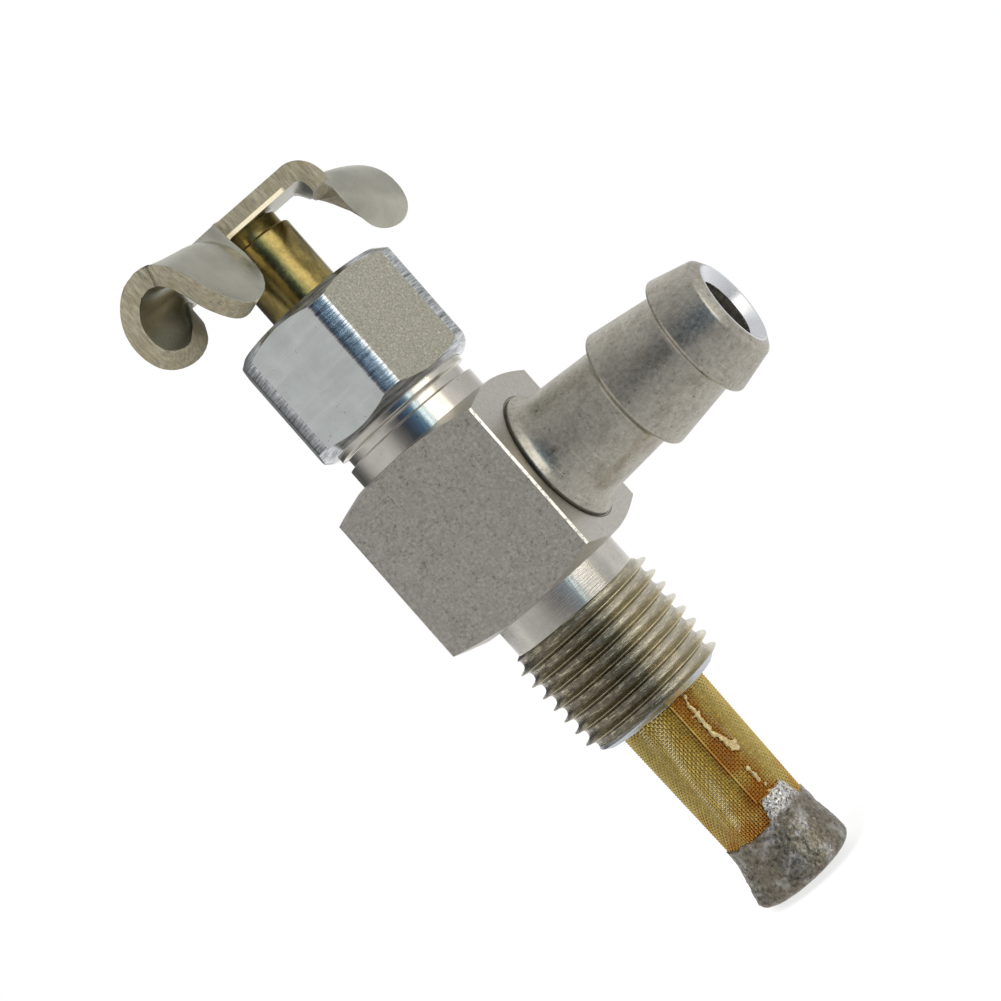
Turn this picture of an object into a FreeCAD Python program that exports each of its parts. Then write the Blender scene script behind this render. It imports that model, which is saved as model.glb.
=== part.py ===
"""Screw-down fuel tap with a strainer, in millimetres, +Z along the spindle.

The origin is on the spindle axis at the upper end of the tank thread. The outlet
spigot points along +X, the handle is at the top and the strainer hangs below.
The tap is shown closed, with its pad on the seat.
"""
import FreeCAD, Part
import math
import os

Vector = FreeCAD.Vector
UP = Vector(0, 0, 1)

# One 7/16 inch spanner fits the square body and the hexagon nut
spanner_size = 11.11

# Body: a square bar, turned at both ends
block_height = 11.56
block_end_step = 0.2
block_chamfer_height = 0.78
outlet_below_middle = 0.28

# Tank thread, 1/8-27 taper pipe thread, shown plain at its mean crest radius
thread_length = 7.6
thread_radius = 5.0
thread_end_radius = 4.18
thread_end_chamfer = 0.55
shank_radius = 4.4
shank_length = 1.92

# Gland neck, 3/8-24 thread, with a groove above its plain collar
nut_wall = 0.855
neck_wall = 1.1
neck_collar_height = 1.32
neck_groove_width = 0.65
neck_groove_depth = 0.35
neck_height = 6.4
neck_chamfer = 0.35

# Passages inside the body
inlet_bore_radius = 2.2
seat_height = 5.2
seat_thickness = 1.0
seat_bore_radius = 1.2
seat_land_radius = 1.75
seat_land_height = 0.4
chamber_radius = 2.6
spindle_thread_bottom = 9.6
port_bore_radius = 1.9
port_socket_radius = 2.92
port_socket_floor = 3.3
packing_bore_depth = 4.48

# Clearances
turning_gap = 0.06
fit_gap = 0.03
pad_gap = 0.05
strainer_gap = 0.08
strainer_top_gap = 0.12

# Spindle, a 3/16 rod with a 1/4-28 screw on its lower part
spindle_radius = 2.38
spindle_nose_radius = 2.1
spindle_screw_radius = 3.12
spindle_screw_length = 3.6
spindle_neck_length = 0.8
spindle_neck_radius = 2.05
spindle_tenon_radius = 1.7
stake_radius = 2.3
stake_height = 0.1
stake_depth = 0.6

# Seat pad, held loose in the spindle's end
pad_radius = 1.9
pad_thickness = 1.2
pad_stem_radius = 0.7
pad_stem_length = 1.3

# Gland
packing_height = 2.6
nut_corner_cut = 0.27
nut_above_block = 2.42
nut_height = 7.95
nut_top_wall = 3.1
nut_end_step = 0.26
nut_chamfer_height = 0.72
nut_turn = -3.0

# Outlet spigot for a 6.35 mm hose
spigot_bore_radius = 2.0
spigot_collar_radius = 4.35
spigot_collar_thickness = 0.4
spigot_flare_end = 1.25
spigot_base_radius = 3.7
spigot_waist_radius = 3.34
spigot_barb_radius = 4.06
spigot_barb_end_radius = 3.39
spigot_inner_barb_from_face = 6.2
spigot_outer_barb_from_face = 10.95
spigot_barb_lip = 0.2
spigot_inner_barb_length = 3.6
spigot_outer_barb_length = 2.62
spigot_mouth_radius = 2.62
spigot_mouth_depth = 0.55
spigot_nose_chamfer = 0.4

# Handle, one piece of sheet, turned as it was left
handle_thickness = 1.2
handle_clearance = 0.6
handle_half_width = 3.4
handle_turn = 22.5
wing_front = 8.5
wing_ridge = 6.1
wing_drop = 5.0
bar_climb = 0.65
far_wing_climb = 0.3

# Strainer, a tube of wire gauze with a solder-dipped end
gauze_radius = 3.15
gauze_wall = 0.5
gauze_seat_depth = 3.0
gauze_length = 15.2
gauze_ridge = 0.08
gauze_ridge_half_width = 0.16
gauze_rows = 4
gauze_columns = 9
gauze_window_width = 0.9
gauze_window_height = 1.2
gauze_first_row = 1.9
gauze_row_pitch = 1.85
ferrule_wall = 0.35
tip_overlap = 3.02
tip_below_gauze = 1.28
tip_rim_radius = 3.24
tip_flare_radius = 3.55
seam_direction = -39.5
seam_half_angle = 8.0
seam_thickness = 0.16
seam_blob_radius = 0.55
strainer_lean = 1.0
strainer_lean_height = -4.0

# Places that follow from the sizes above
block_bottom = shank_length
block_top = block_bottom + block_height
outlet_height = block_bottom + block_height / 2 - outlet_below_middle
port_face = spanner_size / 2
neck_top = block_top + neck_height
neck_radius = spanner_size / 2 - nut_wall
packing_bore_radius = neck_radius - neck_wall
packing_floor = neck_top - packing_bore_depth
nut_bottom = block_top + nut_above_block
nut_top = nut_bottom + nut_height
nut_inside_top = nut_top - nut_top_wall
handle_bottom = nut_top + handle_clearance + wing_drop
handle_level = handle_bottom + handle_thickness / 2
pad_bottom = seat_height + pad_gap
pad_top = pad_bottom + pad_thickness
gauze_top = -thread_length + gauze_seat_depth
gauze_end = gauze_top - strainer_top_gap - gauze_length
tip_top = gauze_end + tip_overlap
tip_bottom = gauze_end - tip_below_gauze


def turned(profile, axis=UP, base=Vector(0, 0, 0)):
    """Solid of revolution from a closed outline of (radius, height) points."""
    points = [Vector(radius, 0, height) for radius, height in profile]
    face = Part.Face(Part.makePolygon(points + points[:1]))
    return face.revolve(base, axis, 360)


def rod(radius, bottom, top):
    return Part.makeCylinder(radius, top - bottom, Vector(0, 0, bottom), UP)


def ring(inner, outer, bottom, top):
    return rod(outer, bottom, top).cut(rod(inner, bottom, top))


def lying_along_x(shape):
    """Turn a shape made along +Z so that it runs along +X at the outlet's height."""
    shape = shape.copy()
    shape.rotate(Vector(0, 0, 0), Vector(0, 1, 0), 90)
    shape.translate(Vector(0, 0, outlet_height))
    return shape


def turned_block():
    """Square bar with both ends chamfered on the lathe."""
    corner_radius = port_face * math.sqrt(2) + 0.01
    end_radius = port_face - block_end_step
    bar = Part.makeBox(spanner_size, spanner_size, block_height,
                       Vector(-port_face, -port_face, block_bottom))
    envelope = turned([
        (0, block_bottom),
        (end_radius, block_bottom),
        (corner_radius, block_bottom + block_chamfer_height),
        (corner_radius, block_top - block_chamfer_height),
        (end_radius, block_top),
        (0, block_top),
    ])
    return bar.common(envelope)


def valve_body():
    groove_radius = neck_radius - neck_groove_depth
    groove_bottom = block_top + neck_collar_height
    groove_top = groove_bottom + neck_groove_width
    tail = turned([
        (0, -thread_length),
        (thread_end_radius, -thread_length),
        (thread_radius, -thread_length + thread_end_chamfer),
        (thread_radius, 0),
        (shank_radius, 0),
        (shank_radius, block_bottom + 1),
        (0, block_bottom + 1),
    ])
    neck = turned([
        (0, block_top - 1),
        (neck_radius, block_top - 1),
        (neck_radius, groove_bottom),
        (groove_radius, groove_bottom),
        (groove_radius, groove_top),
        (neck_radius, groove_top),
        (neck_radius, neck_top - neck_chamfer),
        (neck_radius - neck_chamfer, neck_top),
        (0, neck_top),
    ])
    passages = turned([
        (0, -thread_length - 1),
        (gauze_radius + strainer_gap, -thread_length - 1),
        (gauze_radius + strainer_gap, gauze_top),
        (inlet_bore_radius, gauze_top),
        (inlet_bore_radius, seat_height - seat_thickness),
        (seat_bore_radius, seat_height - seat_thickness),
        (seat_bore_radius, seat_height),
        (seat_land_radius, seat_height),
        (seat_land_radius, seat_height - seat_land_height),
        (chamber_radius, seat_height - seat_land_height),
        (chamber_radius, spindle_thread_bottom),
        (spindle_screw_radius + turning_gap, spindle_thread_bottom),
        (spindle_screw_radius + turning_gap, packing_floor),
        (packing_bore_radius, packing_floor),
        (packing_bore_radius, neck_top + 1),
        (0, neck_top + 1),
    ])
    port = lying_along_x(rod(port_bore_radius, 0, port_face + 1))
    socket = lying_along_x(rod(port_socket_radius, port_socket_floor, port_face + 1))
    blank = turned_block().fuse([tail, neck])
    return blank.cut([passages, port, socket]).removeSplitter()


def outlet_spigot():
    """Hose spigot with two barbs, each sharp towards the body."""
    face = port_face + fit_gap
    tail = port_socket_radius - fit_gap
    inner = face + spigot_inner_barb_from_face
    outer = face + spigot_outer_barb_from_face
    end = outer + spigot_outer_barb_length + spigot_nose_chamfer
    outline = [
        (spigot_bore_radius, port_socket_floor + fit_gap),
        (tail, port_socket_floor + fit_gap),
        (tail, face),
        (spigot_collar_radius, face),
        (spigot_collar_radius, face + spigot_collar_thickness),
        (spigot_base_radius, face + spigot_flare_end),
        (spigot_waist_radius, inner - spigot_barb_lip),
        (spigot_barb_radius, inner),
        (spigot_barb_end_radius, inner + spigot_inner_barb_length),
        (spigot_barb_end_radius, outer - spigot_barb_lip),
        (spigot_barb_radius, outer),
        (spigot_barb_end_radius, outer + spigot_outer_barb_length),
        (spigot_mouth_radius, end),
        (spigot_bore_radius, end - spigot_mouth_depth),
    ]
    return lying_along_x(turned(outline))


def gland_nut():
    """Hexagon nut with corners turned down to narrow lands."""
    corner = spanner_size / math.sqrt(3)
    corner_radius = corner - nut_corner_cut
    end_radius = spanner_size / 2 - nut_end_step
    angles = [math.radians(60 * step + nut_turn) for step in range(6)]
    corners = [Vector(corner * math.cos(a), corner * math.sin(a), nut_bottom) for a in angles]
    hexagon = Part.Face(Part.makePolygon(corners + corners[:1])).extrude(UP * nut_height)
    envelope = turned([
        (0, nut_bottom),
        (end_radius, nut_bottom),
        (corner_radius, nut_bottom + nut_chamfer_height),
        (corner_radius, nut_top - nut_chamfer_height),
        (end_radius, nut_top),
        (0, nut_top),
    ])
    bore = rod(neck_radius + fit_gap, nut_bottom - 1, nut_inside_top)
    top_hole = rod(spindle_radius + turning_gap, nut_bottom, nut_top + 1)
    return hexagon.common(envelope).cut([bore, top_hole])


def gland_packing():
    return ring(spindle_radius + turning_gap, packing_bore_radius - fit_gap,
                packing_floor + fit_gap, packing_floor + packing_height)


def gland_follower():
    bottom = packing_floor + packing_height + fit_gap
    return ring(spindle_radius + turning_gap, packing_bore_radius - fit_gap,
                bottom, nut_inside_top - fit_gap)


def spindle():
    """Rod with its screw below and a tenon staked into the handle's countersunk hole."""
    nose_bottom = pad_top + pad_gap
    screw_top = packing_floor - screw_travel() - 0.15
    screw_bottom = screw_top - spindle_screw_length
    shoulder = handle_bottom - spindle_neck_length
    tilt = bar_climb / (2 * handle_half_width)
    seat = handle_bottom + climb(0) - spindle_neck_radius * tilt - fit_gap
    stake = handle_bottom + handle_thickness + climb(0) + stake_height
    body = turned([
        (0, nose_bottom),
        (spindle_nose_radius, nose_bottom),
        (spindle_nose_radius, screw_bottom),
        (spindle_screw_radius, screw_bottom),
        (spindle_screw_radius, screw_top),
        (spindle_radius, screw_top),
        (spindle_radius, shoulder),
        (spindle_neck_radius, shoulder),
        (spindle_neck_radius, seat),
        (spindle_tenon_radius, seat),
        (spindle_tenon_radius, stake - stake_depth),
        (stake_radius, stake),
        (0, stake),
    ])
    socket = rod(pad_stem_radius + turning_gap, nose_bottom - 1,
                 pad_top + pad_stem_length + pad_gap)
    return body.cut(socket)


def screw_travel():
    """Lift of the spindle from closed to fully open: two turns of 28 to the inch."""
    return 2 * 25.4 / 28


def seat_pad():
    disc = rod(pad_radius, pad_bottom, pad_top)
    return disc.fuse(rod(pad_stem_radius, pad_top, pad_top + pad_stem_length)).removeSplitter()


def climb(along):
    """Height that the sheet gains from the near corner of its bar towards the far wing."""
    if along < -handle_half_width:
        return 0
    if along < handle_half_width:
        return bar_climb * (along + handle_half_width) / (2 * handle_half_width)
    share = (along - handle_half_width) / (wing_front - handle_half_width)
    return bar_climb + (far_wing_climb - bar_climb) * share


def sheet_band(points, along):
    """Closed outline of the sheet's cross-section about a line of (x, z) points."""
    middle = [Vector(x, along, z) for x, z in points]
    outer = []
    inner = []
    for index, point in enumerate(middle):
        before = middle[max(index - 1, 0)]
        after = middle[min(index + 1, len(middle) - 1)]
        side = (after - before).normalize().cross(Vector(0, 1, 0)) * (handle_thickness / 2)
        outer.append(point + side)
        inner.append(point - side)
    outline = outer + inner[::-1]
    return Part.makePolygon(outline + outline[:1])


# Sections of the curl from the mouth of a wing to the bar: distance along, place of the
# ridge, and steps (out, down) from the ridge to the free edge, as shares of wing_front,
# wing_ridge and wing_drop
CURL = [
    (-1.0, -1.0, [(0.06, 0), (-0.18, -0.06), (-0.38, -0.25), (-0.46, -0.56), (-0.38, -0.83),
                  (-0.22, -0.96)]),
    (-0.9, -0.95, [(0.06, 0), (-0.18, -0.05), (-0.36, -0.25), (-0.44, -0.55), (-0.32, -0.82),
                   (-0.02, -0.88)]),
    (-0.7, -0.85, [(0.06, 0), (-0.15, -0.04), (-0.31, -0.19), (-0.35, -0.42), (-0.24, -0.61),
                   (-0.02, -0.61)]),
]
NEAR_ROLL = (-0.7, [(0.06, 0), (-0.1, -0.01), (-0.21, -0.09), (-0.27, -0.21), (-0.28, -0.34),
                    (-0.25, -0.45)])
FAR_ROLL = (-0.62, [(0.06, 0), (-0.1, -0.01), (-0.21, -0.08), (-0.27, -0.18), (-0.28, -0.26),
                    (-0.28, -0.34)])

# Sections of the inner leg of the near wing, in the same shares
EAR = [
    (-1.0, -1.0, [(-0.06, 0), (0.15, -0.05), (0.36, -0.32), (0.46, -0.58), (0.57, -0.86)]),
    (-0.91, -0.95, [(-0.06, 0), (0.17, -0.04), (0.4, -0.32), (0.52, -0.64), (0.65, -0.98)]),
    (-0.59, -0.8, [(-0.06, 0), (0.25, -0.01), (0.54, -0.17), (0.69, -0.42), (0.77, -0.72)]),
]
EAR_ROOT = (-0.7, [(-0.06, 0), (0.13, 0), (0.31, 0), (0.48, 0), (0.64, 0)])


def sheet_line(ridge, steps, y, way=1):
    """Points (x, z) across the sheet's middle from a ridge outwards; way -1 is the far side."""
    level = handle_level + climb(y)
    return [(way * (ridge * wing_ridge + out * wing_drop), level + down * wing_drop)
            for out, down in steps]


def wing(sections, root, way=1):
    """Bent sheet from a wing's mouth to the bar's edge."""
    wires = []
    for along, ridge, steps in sections:
        y = way * along * wing_front
        wires.append(sheet_band(sheet_line(ridge, steps, y, way), y))
    edge = -way * handle_half_width
    wires.append(sheet_band(sheet_line(*root, edge, way), edge))
    return Part.makeLoft(wires, True, True)


def handle_bar():
    """Flat bar with both sides rolled down, deeper towards the wing that each side runs to."""
    wires = []
    for y, left, right in ((-handle_half_width, NEAR_ROLL, FAR_ROLL),
                           (handle_half_width, FAR_ROLL, NEAR_ROLL)):
        line = sheet_line(*left, y)[::-1] + sheet_line(*right, y, -1)
        wires.append(sheet_band(line, y))
    return Part.makeLoft(wires, True, True)


def handle():
    """Bar with a wing curled down at each end, and an inner leg on the near wing."""
    wings = [wing(CURL, NEAR_ROLL), wing(CURL, NEAR_ROLL, -1), wing(EAR, EAR_ROOT)]
    head = handle_bottom + handle_thickness + climb(0) + stake_height
    above = handle_thickness
    slope = (stake_radius - spindle_tenon_radius) / stake_depth
    hole = turned([
        (0, handle_bottom - 1),
        (spindle_tenon_radius + fit_gap, handle_bottom - 1),
        (spindle_tenon_radius + fit_gap, head - stake_depth - fit_gap),
        (stake_radius + fit_gap + above * slope, head - fit_gap + above),
        (0, head - fit_gap + above),
    ])
    blank = handle_bar().fuse(wings).cut(hole)
    blank.rotate(Vector(0, 0, 0), UP, handle_turn)
    return blank


def leaned(shape):
    """Lean a strainer piece a little to the side that the outlet is on."""
    side = math.radians(handle_turn)
    across = Vector(-math.sin(side), math.cos(side), 0)
    shape = shape.copy()
    shape.rotate(Vector(0, 0, strainer_lean_height), across, -strainer_lean)
    return shape


def strainer_gauze():
    """Gauze tube: hoop ridges, with a field of gaps through its wall."""
    inner = gauze_radius - gauze_wall
    outer = gauze_radius - gauze_ridge
    top = gauze_top - strainer_top_gap
    outline = [(inner, top), (outer, top)]
    first_row = -thread_length - gauze_first_row
    for row in range(gauze_rows):
        ridge = first_row - (row - 0.5) * gauze_row_pitch
        outline += [(outer, ridge + gauze_ridge_half_width),
                    (gauze_radius, ridge),
                    (outer, ridge - gauze_ridge_half_width)]
    outline += [(outer, gauze_end), (inner, gauze_end)]
    tube = turned(outline)
    windows = []
    for row in range(gauze_rows):
        centre = first_row - row * gauze_row_pitch
        for column in range(gauze_columns):
            window = Part.makeBox(2, gauze_window_width, gauze_window_height,
                                  Vector(inner - 0.5, -gauze_window_width / 2,
                                         centre - gauze_window_height / 2))
            window.rotate(Vector(0, 0, 0), UP,
                          seam_direction + 360 / gauze_columns * (column + 0.5))
            windows.append(window)
    return leaned(tube.cut(windows))


def strainer_ferrule():
    outer = gauze_radius - gauze_wall - fit_gap
    tube = ring(outer - ferrule_wall, outer, -thread_length + 0.2, gauze_top - strainer_top_gap)
    return leaned(tube)


def strainer_solder_tip():
    """Solder slug over the gauze's end, fuller on one side near the bottom."""
    slug = turned([
        (0, tip_bottom),
        (tip_flare_radius - 0.9, tip_bottom),
        (tip_flare_radius, tip_bottom + 1.0),
        (tip_rim_radius, tip_top),
        (0, tip_top),
    ])
    inner = gauze_radius - gauze_wall
    pocket = ring(inner - fit_gap, gauze_radius + 0.01, gauze_end - fit_gap, tip_top + 1)
    return leaned(slug.cut(pocket))


def strainer_seam_solder():
    """Bead along the gauze's seam with a few fuller blobs."""
    top = -thread_length - 0.5
    bottom = tip_top + 0.05
    half = math.radians(seam_half_angle)
    near = gauze_radius + 0.01
    far = gauze_radius + seam_thickness
    corners = [Vector(radius * math.cos(angle), radius * math.sin(angle), bottom)
               for radius, angle in ((near, -half), (far, -half * 0.8),
                                     (far, half * 0.8), (near, half))]
    inside = Part.Arc(corners[3], Vector(near, 0, bottom), corners[0]).toShape()
    outside = Part.Arc(corners[1], Vector(far, 0, bottom), corners[2]).toShape()
    sides = [Part.makeLine(corners[0], corners[1]), Part.makeLine(corners[2], corners[3])]
    section = Part.Face(Part.Wire([inside, sides[0], outside, sides[1]]))
    bead = section.extrude(UP * (top - bottom))
    length = top - bottom
    blobs = []
    for share, side in ((0.12, -3.0), (0.3, 2.0), (0.42, -2.0), (0.62, 3.0), (0.86, 0.0)):
        rim = [Vector(near, seam_blob_radius * math.cos(turn), seam_blob_radius * math.sin(turn))
               for turn in (math.radians(60 * step) for step in range(6))]
        blob = Part.Face(Part.makePolygon(rim + rim[:1])).extrude(Vector(2 * seam_thickness, 0, 0))
        blob.rotate(Vector(0, 0, 0), UP, side)
        blob.translate(Vector(0, 0, top - length * share))
        blobs.append(blob)
    bead = bead.fuse(blobs)
    bead.rotate(Vector(0, 0, 0), UP, seam_direction)
    return leaned(bead)


PARTS = {
    "valve_body": valve_body,
    "outlet_spigot": outlet_spigot,
    "gland_nut": gland_nut,
    "gland_packing": gland_packing,
    "gland_follower": gland_follower,
    "spindle": spindle,
    "seat_pad": seat_pad,
    "handle": handle,
    "strainer_gauze": strainer_gauze,
    "strainer_ferrule": strainer_ferrule,
    "strainer_solder_tip": strainer_solder_tip,
    "strainer_seam_solder": strainer_seam_solder,
}


def main():
    os.makedirs("parts", exist_ok=True)
    for name, make in PARTS.items():
        shape = make()
        box = shape.BoundBox
        print(name, "valid" if shape.isValid() else "NOT VALID", len(shape.Solids), "solids",
              "z", round(box.ZMin, 2), round(box.ZMax, 2),
              "volume", round(shape.Volume, 2))
        shape.exportStep("parts/" + name + ".step")


main()
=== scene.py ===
import math
from types import SimpleNamespace

import bmesh
import bpy
import numpy as np
from bpy.props import FloatProperty, FloatVectorProperty, PointerProperty
from bpy.types import Operator, Panel, PropertyGroup
from mathutils import Matrix, Vector, noise


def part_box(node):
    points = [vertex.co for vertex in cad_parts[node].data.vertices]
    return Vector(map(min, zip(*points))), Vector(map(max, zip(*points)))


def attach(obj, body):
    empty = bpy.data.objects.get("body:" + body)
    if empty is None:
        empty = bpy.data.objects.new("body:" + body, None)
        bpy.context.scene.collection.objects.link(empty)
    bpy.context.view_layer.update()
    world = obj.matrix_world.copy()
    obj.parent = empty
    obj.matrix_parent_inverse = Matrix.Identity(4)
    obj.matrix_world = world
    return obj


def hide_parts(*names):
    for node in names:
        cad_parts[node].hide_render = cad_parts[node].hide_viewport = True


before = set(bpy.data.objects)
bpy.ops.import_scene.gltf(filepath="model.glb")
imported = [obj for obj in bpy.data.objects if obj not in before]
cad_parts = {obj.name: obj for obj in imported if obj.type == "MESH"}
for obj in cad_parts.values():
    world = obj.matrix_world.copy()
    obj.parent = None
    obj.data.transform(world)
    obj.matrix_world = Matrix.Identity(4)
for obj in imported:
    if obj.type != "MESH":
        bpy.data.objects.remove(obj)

bl_info = {
    "name": "Fuel tap",
    "version": (1, 0, 0),
    "blender": (4, 5, 0),
    "location": "View3D > Sidebar > Fuel tap",
    "description": "Builds the looks of a small screw-down fuel tap around its packed solids",
    "category": "Add Mesh",
}

# Pieces are drawn in millimetres and brought to metres when they are finished
MM = 0.001
# Bodies that the pieces ride on, the handle's angle in the photo and the steps of a full turn
BODY = "valve_body"
STEM = "spindle"
HANDLE_TURN = math.radians(22.5)
SPIN_STEPS = 96
# Gap between pieces that fit together, distance at which points are one, and the length by
# which a cutting tool stands out past what it cuts
FIT_GAP = 0.03
WELD = 0.0005
OVERLAP = 1
# Height of the gauze's overlapped flap over the tube, in thicknesses of its wire
FLAP_LIFT = 1.8


def length(name, description, millimetres):
    """A size that the user can change, kept in metres."""
    return FloatProperty(name=name, description=description,
                         default=millimetres * MM, unit="LENGTH")


def turn(name, description, degrees):
    """An angle that the user can change."""
    return FloatProperty(name=name, description=description,
                         default=math.radians(degrees), unit="ROTATION")


def ratio(name, description, value):
    """A plain number that the user can change."""
    return FloatProperty(name=name, description=description, default=value)


def colour(name, description, red, green, blue):
    """A colour that the user can change."""
    return FloatVectorProperty(name=name, description=description, subtype="COLOR",
                               size=3, min=0, max=1, default=(red, green, blue))


class TapBodySizes(PropertyGroup):
    """Sizes of the square body with its gland neck and shank."""
    across: length("Bar", "Size of the square bar across its flats", 11.11)
    height: length("Block height", "Height of the square block", 11.56)
    end_radius: length("End radius", "Radius of the turned end faces", 5.36)
    chamfer: length("End chamfer", "Height of the turned end chamfers", 0.78)
    bottom: length("Block bottom", "Height of the block's lower face", 1.92)
    outlet: length("Outlet height", "Height of the outlet's axis", 7.42)
    worn: length("Worn edge", "Width of the block's worn edges", 0.13)
    gap: length("Joint ring", "Radius of the dark joint round the spigot's collar", 4.46)
    shank: length("Shank radius", "Radius of the plain shank above the tank thread", 4.4)
    neck: length("Neck radius", "Radius of the gland neck's thread crests", 4.71)
    collar: length("Neck collar", "Height of the neck's plain collar", 1.32)
    groove: length("Neck groove", "Radius at the bottom of the neck's groove", 4.33)
    groove_width: length("Groove width", "Height of the neck's groove", 0.65)
    groove_slope: length("Groove slope", "Height of the slopes beside the groove", 0.05)
    neck_top: length("Neck top", "Height of the neck's upper end", 19.88)
    neck_chamfer: length("Neck chamfer", "Size of the chamfer at the neck's upper end", 0.35)
    lap: length("Shank lap", "Length of the shank inside the tank thread", 0.8)


class TapPassageSizes(PropertyGroup):
    """Sizes of the passages inside the body."""
    inlet: length("Inlet", "Radius of the inlet", 2.2)
    seat_bottom: length("Seat underside", "Height of the seat's underside", 4.2)
    seat_bore: length("Seat hole", "Radius of the hole through the seat", 1.2)
    seat: length("Seat height", "Height of the seat's raised land", 5.2)
    seat_land: length("Seat land", "Radius of the seat's raised land", 1.75)
    seat_floor: length("Seat floor", "Height of the floor round the seat", 4.8)
    chamber: length("Chamber", "Radius of the chamber over the seat", 2.6)
    screw_bottom: length("Screw bottom", "Height at which the spindle's thread starts", 9.6)
    screw: length("Screw", "Radius of the spindle's thread in the body", 3.18)
    packing_floor: length("Packing floor", "Height of the packing's floor", 15.4)
    packing: length("Packing bore", "Radius of the packing's bore", 3.6)
    socket: length("Spigot socket", "Radius of the spigot's socket", 2.92)
    socket_floor: length("Socket floor", "Distance of the socket's floor from the axis", 3.3)
    port: length("Port", "Radius of the port between chamber and spigot", 1.9)
    strainer: length("Strainer bore", "Radius of the bore for the strainer", 3.23)
    strainer_top: length("Strainer bore top", "Height of the bore for the strainer", -4.6)


class TapThreadSizes(PropertyGroup):
    """Sizes of the tapered tank thread."""
    pitch: length("Pitch", "Distance from crest to crest", 0.941)
    crest: length("Crest radius", "Crest radius at the thread's upper end", 5.13)
    depth: length("Depth", "Height of the crests over the roots", 0.56)
    reach: length("Length", "Length of the threaded stretch", 7.6)
    end: length("End radius", "Radius at the chamfered lower end", 4.05)
    end_chamfer: length("End chamfer", "Height of the lower end's chamfer", 0.5)
    end_crest: length("Lower crest", "Crest radius where the lower end's chamfer starts", 4.9)
    start: length("Start height", "Height over the shank at which the thread starts", 0.03)
    run_in: length("Run-in", "Length over which the thread rises from the shank", 0.42)
    taper: ratio("Taper", "Change of radius for each unit of length", 1 / 32)


class TapNutSizes(PropertyGroup):
    """Sizes of the gland nut."""
    across: length("Across flats", "Size of the hexagon across its flats", 11.11)
    corner: length("Corner radius", "Radius to which the corners are turned", 6.14)
    bottom: length("Bottom", "Height of the nut's lower face", 15.9)
    height: length("Height", "Height of the nut", 7.95)
    face: length("Face radius", "Radius of the end faces inside their chamfers", 5.2)
    chamfer: length("Chamfer", "Height of the end chamfers", 0.72)
    hole: length("Hole radius", "Radius of the hole for the spindle", 2.44)
    bore: length("Bore radius", "Radius of the threaded bore", 4.75)
    wall: length("Top wall", "Thickness of the wall above the bore", 3.1)
    turn: turn("Turn", "Angle of one corner round the spindle", -3)
    worn: length("Worn edge", "Width of the edges beside the turned corners", 0.11)


class TapSpindleSizes(PropertyGroup):
    """Sizes of the spindle."""
    radius: length("Radius", "Radius of the polished rod", 2.38)
    shoulder: length("Shoulder", "Height of the shoulder below the handle", 28.65)
    neck: length("Neck radius", "Radius between the shoulder and the handle", 2.05)
    tenon: length("Tenon radius", "Radius of the stretch inside the handle", 1.7)
    stake: length("Stake radius", "Radius of the staked head on top", 2.28)
    stake_height: length("Stake height", "Height of the staked head over the handle", 0.09)
    stake_depth: length("Stake depth", "Depth of the staked head in the handle", 0.6)
    pad_hole: length("Pad hole", "Radius of the hole for the seat pad's stem", 0.76)
    pad_hole_top: length("Pad hole top", "Height of the upper end of that hole", 7.8)
    lower: length("Lower end", "Radius below the screw", 2.1)
    screw: length("Screw", "Radius of the screw in the body", 3.12)
    screw_bottom: length("Screw bottom", "Height of the screw's lower end", 9.84)
    screw_top: length("Screw top", "Height of the screw's upper end", 13.44)


class TapSpigotSizes(PropertyGroup):
    """Sizes of the hose spigot, measured from the port face."""
    bore: length("Bore radius", "Radius of the fuel passage", 2.0)
    collar: length("Collar radius", "Radius of the swaged collar on the port face", 4.38)
    base: length("Base radius", "Radius above the collar's flare", 3.7)
    waist: length("Waist radius", "Radius before the inner barb", 3.34)
    barb: length("Barb radius", "Radius of both barbs", 4.06)
    barb_end: length("Barb end radius", "Radius at the small end of the barbs", 3.39)
    inner_barb: length("Inner barb", "Distance of the inner barb from the port face", 6.22)
    outer_barb: length("Outer barb", "Distance of the outer barb from the port face", 10.97)
    end: length("End", "Distance of the spigot's end from the port face", 13.95)
    mouth: length("Mouth radius", "Radius of the countersunk mouth", 2.62)


class TapHandleSizes(PropertyGroup):
    """Sizes of the bent sheet handle."""
    thickness: length("Thickness", "Thickness of the sheet", 1.2)
    height: length("Height", "Height of the bar's underside", 29.45)
    half_width: length("Half width", "Half the width of the bar", 3.4)
    climb: length("Climb", "Height that the bar gains across its width", 0.6)
    far_climb: length("Far climb", "Height of the far wing's mouth over the near one's", -0.2)
    wing_end: length("Wing end", "Distance of the wings' mouths from the spindle", 8.5)
    ear_start: length("Ear start", "Where the ear's free edge leaves the bar", -1.07)
    corner: length("Corner", "Radius of the ear's free corner", 2.2)
    curl_corner: length("Curl corner", "Radius of the curls' free corners", 2.6)
    dip: length("Far dip", "Where the far wing's root has come down from the bar", 4.7)
    # The bright band on the bar's cut edge is a painted highlight
    painted_highlight_band: length("Burnished band", "Height of the bright band on the bar's edge", 0.25)
    edge: length("Edge", "Width of the softened edges of the sheet", 0.16)


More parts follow.
